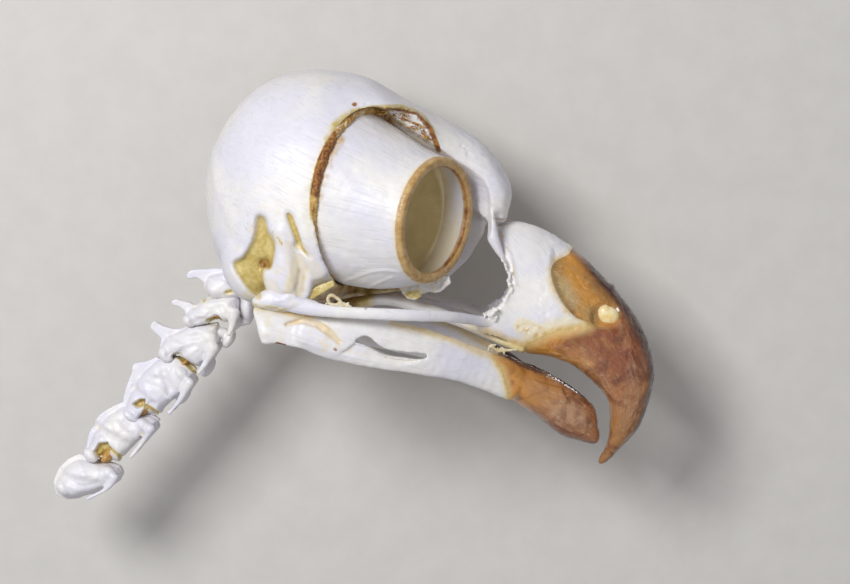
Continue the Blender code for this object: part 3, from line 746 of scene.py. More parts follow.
def bone_material(name, streaks=0.35, deep=TISSUE, light=TISSUE_PALE):
    """Cleaned bone: cool white with a warm bloom, pores and hairlines, tinted where tissue has dried and
    where shade is painted.
    """
    s = Surface(
        name, IOR=1.5, Subsurface_Weight=0.12, Subsurface_Scale=0.0012, Subsurface_Radius=(1.0, 0.75, 0.5)
    )
    broad = s.noise(95, 3, 0.5, distortion=0.4)
    fine = s.noise(900, 5, 0.6, seed=3.1)
    grain = s.noise(3200, 2, 0.5, seed=7.7)
    hair = s.noise(1.0, 4, 0.6, stretch=(0.22, 3.2, 1.0), distortion=0.3, seed=1.7)
    base = s.mix(s.span(broad, 0.35, 0.68), BONE_COOL, BONE_WARM)
    base = s.mix(s.span(fine, 0.42, 0.75, 0.0, 0.28), base, BONE_MOTTLE)
    base = s.mix(s.span(hair, 0.56, 0.70, 0.0, streaks), base, BONE_HAIRLINE)
    base = s.mix(s.times(s.broken(s.cream, fine, 0.4), 0.75), base, CREAM)
    # Dried tissue from the red mask, and in places painted shade in tan.
    tissue_stain_and_shade = s.broken(s.tissue, s.noise(700, 5, 0.65, seed=9.3), 0.38)
    base = s.mix(tissue_stain_and_shade, base, s.mix(s.span(fine, 0.3, 0.7), deep, light))
    # Dark blood from the green mask, and in places painted shade in brown.
    dark_stain_and_shade = s.broken(s.dark, s.noise(1100, 5, 0.65, seed=5.3), 0.7)
    base = s.mix(dark_stain_and_shade, base, s.mix(s.span(fine, 0.4, 0.6), DRIED_DARK, DRIED_BROWN))
    roughness = s.span(s.plus(s.tissue, s.noise(420, 3, 0.5, seed=4.0)), 0.3, 1.3, 0.42, 0.30)
    height = s.plus(s.times(fine, 0.5), s.times(grain, 0.22))
    height = s.less(height, s.times(s.spots(1100, 0.16, 2.0), 0.35))
    height = s.less(height, s.times(s.span(hair, 0.5, 0.7), 0.5))
    height = s.plus(height, s.times(s.times(tissue_stain_and_shade, fine), 2.2))
    return s.close(base, roughness, height, 0.45, 0.00010)


def horn_material(name, pale, deep):
    """Horn in the colours of its 'tint' attribute, mottled deeper, scratched lengthwise and rubbed pale."""
    s = Surface(
        name, IOR=1.54, Subsurface_Weight=0.05, Subsurface_Scale=0.0008, Subsurface_Radius=(1.0, 0.45, 0.2),
        Coat_Weight=0.6, Coat_Roughness=0.16,
    )
    tint = s.painted("tint").outputs["Color"]
    mottle = s.noise(260, 5, 0.62, distortion=1.1)
    patches = s.noise(120, 3, 0.55, distortion=0.9, seed=6.0)
    fine = s.noise(1300, 4, 0.6, seed=2.2)
    long_scratch = s.noise(1.0, 5, 0.75, stretch=(0.28, 2.0, 0.5), distortion=1.2, seed=5.0)
    short_scratch = s.noise(1.0, 3, 0.6, stretch=(0.8, 5.0, 1.0), distortion=1.0, seed=8.0)
    base = s.mix(s.span(mottle, 0.42, 0.64, 0.0, 0.7), tint, deep)
    base = s.mix(s.span(patches, 0.52, 0.34, 0.0, 0.55), base, s.mix(0.6, tint, HORN_PATCH))
    streaks = s.times(s.span(long_scratch, 0.48, 0.70), s.span(mottle, 0.60, 0.40, 0.25, 1.0))
    marks = s.times(s.span(short_scratch, 0.60, 0.70), s.span(patches, 0.35, 0.6, 0.1, 0.8))
    scratches = s.calc("MAXIMUM", s.times(streaks, s.rubbed), s.times(marks, 0.8))
    base = s.mix(s.times(scratches, 0.8), base, pale)
    skin_colour = s.mix(s.span(mottle, 0.5, 0.72, 0.0, 0.6), tint, FOSSA_DEEP)
    skin_colour = s.mix(s.span(short_scratch, 0.52, 0.70, 0.0, 0.6), skin_colour, FOSSA_SCRATCH)
    base = s.mix(s.broken(s.tissue, fine, 0.3), base, skin_colour)
    base = s.mix(s.times(s.cream, s.span(mottle, 0.3, 0.7, 0.85, 1.0)), base, BORDER_GOLD)
    # Near-black from the green mask: dark horn, with a painted dark reflection along the upper bill's ridge
    # and painted shade on the lower bill's far side.
    base = s.mix(s.span(s.plus(s.dark, s.times(mottle, 0.35)), 0.25, 1.15), base, HORN_BLACK)
    worn = s.times(scratches, 0.8)
    roughness = s.span(s.plus(fine, worn), 0.3, 1.2, 0.27, 0.55)
    height = s.plus(s.plus(s.times(fine, 0.35), worn), s.times(mottle, 0.8))
    return s.close(base, roughness, height, 0.6, 0.00012)


def tissue_material(name, pale, deep, gloss=0.35, relief=0.8):
    """Dried tissue: crumbly and glossy, amber where thin and dark where 'stain' green says so."""
    s = Surface(
        name, IOR=1.48, Subsurface_Weight=0.2, Subsurface_Scale=0.001, Subsurface_Radius=(1.0, 0.5, 0.2)
    )
    lumps = s.noise(800, 5, 0.65, distortion=0.6)
    fine = s.noise(2600, 4, 0.6, seed=3.0)
    base = s.mix(s.span(lumps, 0.35, 0.68), deep, pale)
    base = s.mix(s.span(fine, 0.58, 0.75, 0.0, 0.5), base, TISSUE_FIBRE)
    base = s.mix(s.broken(s.dark, lumps, 0.5), base, s.mix(s.span(fine, 0.4, 0.6), DRIED_DARK, DRIED_BROWN))
    base = s.mix(s.broken(s.cream, lumps, 0.5), base, TISSUE_CREAM)
    roughness = s.span(fine, 0.3, 0.7, gloss, gloss + 0.25)
    return s.close(base, roughness, s.plus(lumps, s.times(fine, 0.4)), relief, 0.00025)


def fundus_material():
    """The dried skin that closes the eye tube: tan, with fine creases that run in from its rim."""
    s = Surface("fundus_skin", IOR=1.46, Subsurface_Weight=0.1, Subsurface_Scale=0.0008)
    creases = s.noise(1.0, 3, 0.55, stretch=(3.4, 0.16, 1.0), distortion=0.25, seed=2.0)
    lumps = s.noise(260, 3, 0.5)
    base = s.mix(s.span(lumps, 0.35, 0.65), FUNDUS_DEEP, FUNDUS_TAN)
    base = s.mix(s.span(creases, 0.5, 0.7, 0.0, 0.14), base, FUNDUS_CREASE)
    # Paler rim from the cream mask: a painted highlight.
    base = s.mix(s.broken(s.cream, lumps, 0.3), base, FUNDUS_EDGE_HIGHLIGHT)
    return s.close(base, s.span(lumps, 0.3, 0.7, 0.45, 0.6), s.less(lumps, creases), 0.22, 0.00015)


def floor_material():
    s = Surface("floor_paper")
    fine = s.noise(180, 4, 0.6)
    base = s.mix(s.span(fine, 0.3, 0.7), PAPER_DARK, PAPER_LIGHT)
    return s.close(base, s.span(fine, 0.3, 0.7, 0.75, 0.85), fine, 0.1, 0.0001)


def attribute(obj, name, kind, key, rows):
    """Keeps a row of numbers for each vertex."""
    made = obj.data.attributes.new(name, kind, "POINT")
    made.data.foreach_set(key, rows.astype(np.float32).ravel())


def finished(obj, material, nodes=(), stain_and_shade=None, flow=None, crease=None, tint=None):
    """Paints the piece, lays it where the solids lie and fixes it to the body, in place of its nodes."""
    points = places(obj)
    masks = np.zeros((len(points), 4))
    masks[:, 3] = 1
    for k, mask in enumerate(stain_and_shade or ()):
        masks[:, k] = np.clip(mask, 0, 1)
    attribute(obj, "stain_and_shade", "FLOAT_COLOR", "color", masks)
    attribute(obj, "flow", "FLOAT_VECTOR", "vector", points if flow is None else flow)
    if tint is not None:
        attribute(obj, "tint", "FLOAT_COLOR", "color", np.column_stack((tint, np.ones(len(points)))))
    obj.data.transform(LIE)
    laid = places(obj)
    laid[:, 2] = np.maximum(laid[:, 2], 0)
    move(obj, laid)
    obj.data.materials.clear()
    obj.data.materials.append(material)
    obj.data.polygons.foreach_set("use_smooth", np.ones(len(obj.data.polygons), bool))
    if crease:
        obj.data.set_sharp_from_angle(angle=math.radians(crease))
    obj.data.update()
    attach(obj, "root")
    if nodes:
        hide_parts(*nodes)
    return obj


def pair(obj, other_name, material, nodes=(), stain_and_shade=None, flow=None):
    """Finishes a right piece and its mirror image."""
    other = mirrored(obj, other_name)
    finished(obj, material, nodes[:1], stain_and_shade, flow)
    finished(other, material, nodes[1:], stain_and_shade, flow)


def cavities(obj, amount=0.8):
    """Masks for bone that is creamy in its hollows and tan where they are deep."""
    hollow = hollows(obj, 8)
    return 0.6 * amount * smoothstep(hollow, 0.10, 0.28), 0.0, amount * smoothstep(hollow, 0.02, 0.14)


# Eye tube and orbit.

# The rolled rim, as (how far before the ring, how far outside it) points.
TUBE_LIP = [
    (-0.62, 0.02), (-0.42, 0.04), (-0.22, 0.03), (-0.06, -0.04), (0.05, -0.20), (0.10, -0.45), (0.10, -0.72),
    (0.03, -0.98), (-0.12, -1.18), (-0.32, -1.30), (-0.55, -1.35),
]
TUBE_RIDGES = [
    [(14.7, 3.5, 0.02), (16.9, 4.4, 0.05), (19.2, 5.3, 0.06), (21.2, 5.6, 0.05), (23.4, 5.3, 0.02)],
    [(18.5, 2.7, 0.02), (20.5, 3.8, 0.05), (22.2, 4.5, 0.02)],
]
ORBIT_ROOF = [
    (17.5, 27.6), (19.2, 28.6), (23.2, 28.9), (26.1, 27.8), (27.6, 25.6), (28.6, 22.5), (29.2, 20.5),
    (26.0, 20.0), (20.0, 24.0),
]
ORBIT_CRUST = [(19.6, 27.9), (21.6, 28.0), (24.0, 27.3), (25.8, 26.0), (26.8, 24.6)]


def tube_ring(along, swell, side_shift=(0.0, 0.0, 0.0), sides=48):
    """The right eye tube's outline where it stands so far behind (below zero) its front ring. It widens
    backwards, straight at the sides, with a hollow back above and a belly below."""
    turn = np.linspace(0, 2 * math.pi, sides, endpoint=False)[:, None]
    upper, lower = np.maximum(np.sin(turn), 0), np.maximum(-np.sin(turn), 0)
    share = min(1.0, max(0.0, -along / TUBE_LENGTH))
    flare = share ** (TUBE_FLARE + 0.3 * upper)
    centre = RING_CENTRE + TUBE_AXIS * along
    centre = centre + TUBE_SIDE * BASE_OFFSET[0] * flare + TUBE_UP * BASE_OFFSET[1] * flare
    across = RING_RADIUS + (BASE_RADII[0] - RING_RADIUS) * flare + swell
    tall = RING_RADIUS + (BASE_RADII[1] - RING_RADIUS) * flare + swell
    tall = tall + TUBE_BELLY * lower**2 * math.sin(math.pi * share)
    centre = centre + np.array(side_shift)
    return centre + TUBE_SIDE * (across * np.cos(turn)) + TUBE_UP * (tall * np.sin(turn))


def orbit_forms():
    """The hollow of the right orbit: close round the tube's base, wider round its ring, domed behind it and
    open to the side."""
    turn = np.linspace(0, 2 * math.pi, 48, endpoint=False)[:, None]
    base_gap = 0.35 + 0.6 * smoothstep(np.sin(turn), -0.3, 0.15) * smoothstep(np.cos(turn), -0.7, -0.3)
    levels = np.linspace(-TUBE_LENGTH, 1.5, 8)
    forms = []
    for ends in zip(levels[:-1], levels[1:]):
        cloud = []
        for level in ends:
            front = 1 - min(1.0, max(0.0, -level / TUBE_LENGTH))
            gap = base_gap * (1 - front) + front * (1.1 + 0.9 * np.maximum(-np.cos(turn), 0))
            for shift in ((0, 0, 0), (5, -12, 0)):
                cloud.extend(tube_ring(level, gap, shift))
        forms.append(hull(cloud))
    ring = tube_ring(-TUBE_LENGTH + 0.5, base_gap)
    centre = ring.mean(0)
    cloud = []
    for k in range(7):
        angle = math.radians(90) * k / 6.6
        cloud.extend(centre + (ring - centre) * math.cos(angle) - TUBE_AXIS * DOME_DEPTH * math.sin(angle))
    forms.append(hull(cloud))
    roof, faces = slab(ORBIT_ROOF, -CUT_REACH, 0)
    inner = roof[:, 1] > -1
    roof[inner, 1] = roof_level(roof[inner, 0])
    forms.append((roof, faces))
    return forms


def roof_level(x):
    """How far out (y) the bone above the right tube reaches, as the floor of the recess under the brow."""
    return -11.3 + 0.3 * (x - 18)


def orbit_groove():
    """The groove between the right tube's base and the orbit's rim, as (x, y, z, half width) points."""
    ring = tube_ring(-TUBE_LENGTH + 0.1, 0.45, sides=360)
    return [(*ring[k % 360], 0.36 + 0.34 * math.exp(-(((k - 26) / 28) ** 2))) for k in range(-64, 129, 3)]


def eye_tube(material):
    """Both eye tubes: a thin bony wall with a rolled amber rim, open behind."""
    levels = [-TUBE_LENGTH * (1 - k / 60) for k in range(56)]
    outer = [(level, 0.0) for level in levels]
    inner = [(level, -1.1 - 0.25 * math.exp(level * 0.8)) for level in reversed(levels)]
    profile = outer + TUBE_LIP + inner
    rings = [tube_ring(level, swell, sides=TUBE_SIDES) for level, swell in profile]
    faces = []
    for r in range(len(rings)):
        a, b = r * TUBE_SIDES, (r + 1) % len(rings) * TUBE_SIDES
        for k in range(TUBE_SIDES):
            j = (k + 1) % TUBE_SIDES
            faces.append((a + k, a + j, b + j, b + k))
    obj = mesh_object("eye_tube_right_bone", [outward((np.vstack(rings), faces))])

    points = places(obj)
    level, swell = np.repeat(np.array(profile), TUBE_SIDES, axis=0).T
    turn = np.tile(np.linspace(0, 2 * math.pi, TUBE_SIDES, endpoint=False), len(profile))
    outside = smoothstep(swell, -0.5, -0.1)
    back = smoothstep(-level, 0.6, 2.5)
    rise = 0.10 * ripple(points, 11.0, 11) * back + 0.03 * ripple(points, 3.0, 12) * back * outside
    rise += 0.008 * np.sin(turn * 46 + 3 * ripple(points, 6, 5)) * smoothstep(-level, 1.0, 3.0) * outside
    for ridge in TUBE_RIDGES:
        rise += 0.11 * stroke(points, ridge, 0.3) * outside * back
    rise += 0.04 * ripple(points, 1.3, 21) * (1 - back)
    rise += 0.10 * smoothstep(level, -1.9, -0.9) * outside
    move(obj, points + normals(obj) * rise[:, None] * np.where(outside > 0.5, 1, 0.4)[:, None])

    points = places(obj)
    groove = orbit_groove()
    within = smoothstep(-swell, 0.9, 1.1)
    # Painted shade: the tube's inner wall is tinted tan and cream more strongly the deeper it lies behind the
    # ring.
    inside = within * smoothstep(-level, 0.6, 4.5)
    rim = smoothstep(level, -1.1, -0.5) * np.where(outside > 0.5, 1.0, 0.85)
    inner_edge = smoothstep(-swell, 0.98, 1.16) * smoothstep(level, -0.75, -0.35)
    # Painted shade, with some dried tissue: the tube's outer face towards the middle plane is tinted tan, and
    # dark on its lower part.
    shaded_inner_side = smoothstep(-np.cos(turn), 0.1, 0.5) * outside * smoothstep(-level, 0.2, 1.0)
    shaded_inner_side *= 0.8 + 0.25 * ripple(points, 3.0, 18)
    halo = near(points, groove[23:38], 0.1, 1.8) * outside * (0.85 + 0.35 * ripple(points, 2.4, 19))
    tissue = most(
        rim * (0.92 + 0.12 * ripple(points, 2.6, 8)),
        0.8 * shaded_inner_side,
        0.42 * inside,
        0.85 * (near(points, groove, -0.1, 0.5) * outside) * (0.8 + 0.3 * ripple(points, 2.0, 16)),
        0.62 * halo,
    )
    dark = most(
        inner_edge * (0.62 + 0.2 * ripple(points, 5.0, 17)),
        # Painted shade on the lower part of that inner side.
        0.42 * shaded_inner_side * smoothstep(-np.sin(turn), -0.5, 0.5),
        0.8 * (near(points, groove[24:40], -0.3, 0.45) * outside) * (0.75 + 0.35 * ripple(points, 2.0, 14)),
    )
    cream = most(
        inside,
        0.5 * smoothstep(level, -2.0, -0.9) * outside,
        0.42 * (near(points, groove, 0.2, 1.5) * outside),
        0.5 * smoothstep(hollows(obj, 10), 0.02, 0.08),
        within * smoothstep(-level, 0.4, 1.4) * (0.35 + 0.65 * smoothstep(-np.sin(turn), -0.4, 0.8)),
    )
    flow = np.column_stack((level, turn * 9.5, np.zeros(len(turn))))
    nodes = ["eye_tube_right", "eye_tube_left"]
    pair(obj, "eye_tube_left_bone", material, nodes, (tissue, dark, cream), flow)


def fundus(material):
    """The dried skin inside both tubes, a shallow cup a little behind the ring."""
    rim = tube_ring(FUNDUS_LEVEL, -0.7, sides=TUBE_SIDES)
    centre = rim.mean(0)
    turn = np.linspace(0, 2 * math.pi, TUBE_SIDES, endpoint=False)
    grid = []
    for r in range(FUNDUS_ROWS + 1):
        share = 1 - 0.995 * r / FUNDUS_ROWS
        depth = FUNDUS_DEPTH * (1 - share**2.4)
        crease = 0.02 * np.sin(turn * 62 + 2.5 * np.sin(turn * 5)) * share**2 * (1 - share) * 3
        ring = centre + (rim - centre) * share - TUBE_AXIS * (depth + crease)[:, None]
        grid.append(np.vstack((ring, ring[:1])))
    obj = sheet("eye_skin_right", grid, FUNDUS_THICKNESS)
    offset = places(obj) - centre
    around = np.arctan2(offset @ TUBE_UP, offset @ TUBE_SIDE)
    reach = np.linalg.norm(offset - np.outer(offset @ TUBE_AXIS, TUBE_AXIS), axis=1)
    flow = np.column_stack((around * 9.0, reach, np.zeros(len(reach))))
    # Painted highlight: the skin's rim on the side towards the bill is paler, where light falls into the
    # tube.
    cream = 0.8 * smoothstep(reach, 7.6, 8.4) * smoothstep(-np.cos(around), 0.2, 0.9)
    pair(obj, "eye_skin_left", material, stain_and_shade=(0.0, 0.0, cream), flow=flow)


def orbit_tissue(material):
    """Dried tissue that fills the groove between each tube's base and the orbit's rim, and crumbs of it under
    the orbit's roof."""
    groove = orbit_groove()
    cord = [(x, y + 0.15, z, width + 0.22, 0.5) for x, y, z, width in groove[::3]]
    forms = [limb(cord, up=TUBE_AXIS, sides=16, steps=4)]
    pick = np.random.default_rng(21)
    for x, z in through(ORBIT_CRUST, 8):
        slant, length = pick.uniform(-1.1, 0.2), pick.uniform(0.5, 1.4)
        x, z = x + pick.normal() * 0.3, z + pick.normal() * 0.35
        level = roof_level(x) - pick.uniform(0.0, 0.35)
        size = pick.uniform(0.06, 0.10)
        across, tall = math.cos(slant) * length, math.sin(slant) * length
        fibre = [(x - across, level, z - tall, size, size), (x + across, level - 0.1, z + tall, size, size)]
        forms.append(limb(fibre, up=(0, 1, 0), sides=8, steps=3))
    forms += crumbs(ORBIT_CRUST, 18, 0.35, (0.08, 0.16), -11.2, -10.7, 21)
    obj = fused("orbit_tissue_right", forms, 0.10, smoothing=1, largest=False)
    points = places(obj)
    lumpy = 0.12 * ripple(points, 2.2, 4) + 0.06 * ripple(points, 0.8, 6)
    lumpy *= 1 - 0.8 * smoothstep(points[:, 1], -12.6, -12.0) * smoothstep(points[:, 0], 18.0, 20.0)
    points = lift(obj, lumpy)
    crust = smoothstep(points[:, 1], -12.6, -12.0) * smoothstep(points[:, 0], 18.0, 20.0)
    dark = most(
        near(points, groove[24:37], -0.1, 1.2) * (0.85 + 0.3 * ripple(points, 2.6, 32)),
        0.6 * near(points, groove[36:54], -0.2, 0.6) * patchy(points, 1.4, 33, -0.2, 0.5),
        0.75 * crust * (0.7 + 0.4 * ripple(points, 1.6, 31)),
    )
    pale = most(
        0.4 * crust * patchy(points, 1.4, 3, 0.1, 0.7),
        0.5 * near(points, groove[38:54], 0.3, 0.5) * patchy(points, 1.8, 36, -0.2, 0.5),
    )
    pair(obj, "orbit_tissue_left", material, stain_and_shade=(0.0, dark, pale))


# Braincase.

# Stations as ribs takes them.
VAULT = [
    (-6.4, 18.2, -6.4, 17.2, 0.5, 0.5), (-6.2, 20.0, -6.2, 13.8, 4.6, 0.5),
    (-5.4, 22.0, -5.4, 9.2, 8.8, 0.46), (-4.0, 25.1, -4.0, 5.8, 12.6, 0.44),
    (-2.0, 28.2, -2.0, 2.8, 15.2, 0.42), (1.0, 31.4, 1.0, 0.6, 17.8, 0.40),
    (5.0, 33.6, 5.0, -0.4, 19.4, 0.40), (10.0, 34.4, 10.0, -0.4, 20.3, 0.40),
    (14.5, 34.0, 14.5, 1.5, 19.8, 0.42), (18.0, 33.1, 18.0, 8.0, 17.0, 0.60),
    (20.5, 31.7, 20.5, 14.5, 14.8, 0.78), (23.2, 30.1, 23.2, 18.5, 13.0, 0.80),
    (26.0, 28.7, 26.0, 18.5, 10.4, 0.66), (28.5, 27.4, 28.5, 17.0, 8.5, 0.52),
    (31.5, 25.8, 31.5, 14.8, 7.4, 0.46), (34.5, 23.8, 34.5, 13.0, 7.0, 0.48),
    (37.0, 21.0, 36.6, 12.4, 6.6, 0.5), (38.8, 18.0, 38.0, 12.4, 5.6, 0.5),
    (39.3, 15.6, 38.7, 12.9, 3.6, 0.5),
]
# The partition between the orbits is an outline. The bars have stations as limb takes them, the other lines
# and outlines are seen from the side, and the two at the back of the head have (x, y, z, half width).
SEPTUM = [(12, 2), (12, 26), (24, 27), (34, 20), (35.6, 13), (35.2, 10), (33, 6.5), (29, 2.6), (20, 1.4)]
ROSTRUM = [(9, 0, 0.8, 3.5, 1.6), (16, 0, 1.8, 2.2, 1.3), (24, 0, 2.5, 1.4, 1.0), (29, 0, 2.9, 0.9, 0.7)]
HINGE_ROOT = [(35.4, 0, 13.4, 4.6, 1.6), (38.0, 0, 12.4, 4.6, 1.0)]
LACRIMAL = [
    (34.6, -4.3, 15.8, 1.2, 1.5), (35.7, -5.7, 12.6, 1.1, 1.3), (36.3, -6.3, 10.4, 0.95, 1.1),
    (36.9, -6.2, 8.9, 0.85, 0.85), (37.7, -5.9, 7.3, 0.7, 0.6), (38.5, -5.5, 6.0, 0.5, 0.4),
]
POSTORBITAL = [(9.4, -18.4, 13.0, 1.2, 1.6), (10.0, -18.5, 8.0, 1.2, 1.9), (12.2, -17.9, 4.9, 0.8, 1.4)]
PILLAR = [
    (6.4, -15.4, 17.0, 1.4, 2.6), (6.5, -16.6, 12.0, 1.9, 3.3), (6.9, -17.3, 7.2, 2.1, 3.5),
    (7.2, -17.3, 3.8, 2.1, 3.7), (7.0, -16.7, 1.4, 1.9, 3.2), (6.6, -15.8, -0.2, 1.3, 2.4),
]
ORBIT_BROW = [
    (28.6, 22.5, 0.10), (27.6, 25.7, 0.20), (26.1, 27.9, 0.15), (23.2, 29.0, 0.25), (19.2, 28.7, 0.40),
    (16.7, 28.1, 0.45),
]
ORBIT_INSIDE = [
    (14.0, 4.0), (12.5, 16.0), (15.5, 26.5), (24.0, 28.0), (33.5, 20.0), (34.0, 14.5), (34.5, 10.0),
    (30.0, 3.0),
]
ORBIT_TOP_LINE = [(21.2, 28.9, 0.05), (25.4, 28.0, 0.15), (27.4, 25.8, 0.3), (28.6, 22.6, 0.3)]
PILLAR_FRONT = [(8.6, 9.0, 0.2), (9.6, 5.6, 0.3), (9.2, 2.6, 0.4)]
PILLAR_RIDGE = [(6.2, 11.2, 0.3), (6.9, 7.0, 0.5), (7.0, 3.4, 0.6)]
PILLAR_FAN = [
    [(8.3, 6.8, 0.05), (7.9, 4.6, 0.15), (7.4, 2.4, 0.2)],
    [(9.0, 6.0, 0.05), (8.5, 4.0, 0.15), (8.1, 2.2, 0.2)],
    [(9.6, 4.6, 0.05), (9.2, 3.2, 0.1), (8.8, 2.0, 0.15)],
]
PILLAR_CRUMBS = [(4.9, 11.3, 0.05), (5.8, 10.6, 0.12), (6.6, 9.4, 0.05)]
PILLAR_FOOT = [(10.6, 7.0, 0.4), (11.6, 4.4, 0.6)]
HINGE_CREASE = [(36.6, 12.5, 0.05), (38.2, 12.3, 0.1), (39.6, 12.3, 0.05)]
EAR_HOLLOW = rounded([
    (2.8, 13.3), (4.1, 13.1), (4.5, 11.2), (5.4, 9.3), (4.9, 5.9), (3.8, 5.7), (3.4, 4.3), (4.0, 1.9),
    (2.1, 1.8), (0.1, 4.4), (-0.8, 6.4), (0.7, 7.4), (2.4, 10.3),
])
EAR_HOLE = rounded([(3.0, 6.9), (4.4, 7.0), (4.5, 6.0), (3.1, 5.8)])
SLIT = rounded([
    (7.2, 13.6), (7.9, 13.7), (8.5, 12.4), (9.2, 10.4), (9.6, 9.1), (10.7, 7.3), (9.0, 8.9), (8.3, 10.3),
])
EAR_FLECKS = [(0.9, 11.9), (1.3, 12.4), (1.2, 11.5), (2.0, 12.1)]
EAR_SURROUND = [(-2.0, 2.0), (-1.0, 12.0), (4.0, 16.0), (10.0, 14.0), (12.5, 4.0), (8.0, -1.0), (2.0, -1.0)]
PITS = [(32.0, 23.3, 0.25), (32.6, 22.8, 0.22), (32.9, 22.1, 0.3), (33.4, 21.8, 0.2)]
PORES = [(1.4, 13.3, 0.22), (1.7, 14.3, 0.18), (1.0, 14.0, 0.15), (18.4, 29.6, 0.25), (14.2, 27.5, 0.15)]
DARK_SPOTS = [(16.6, 29.4), (28.4, 24.2), (12.5, 3.1)]
OCCIPUT_GROOVE = [
    (-6.0, -2.4, 20.0, 0.2), (-6.1, -4.0, 15.5, 0.5), (-5.3, -5.6, 10.2, 0.5), (-4.0, -6.4, 6.3, 0.3),
]
NUCHAL_RIDGE = [
    (0.2, -17.0, 10.5, 0.2), (-3.0, -13.4, 17.0, 0.3), (-4.6, -9.0, 21.5, 0.3), (-5.2, -4.0, 22.4, 0.3),
    (-5.3, 0.0, 22.6, 0.3),
]


def braincase_forms():
    """The vault, the partition and bars under it, and the ear's swelling."""
    middle = [
        ribs(VAULT, sides=144, square=2.6, keel=2.7),
        slab(SEPTUM, -1.15, 1.15),
        limb(ROSTRUM),
        limb(HINGE_ROOT),
        ball((0.9, 0, 0.3), (1.6, 1.8, 1.5)),
    ]
    bars = [limb(bar, up=(1, 0, 0)) for bar in (LACRIMAL, POSTORBITAL, PILLAR)]
    return middle + both(*bars, ball((1.8, -12.6, 7.2), (4.8, 5.0, 6.8)))


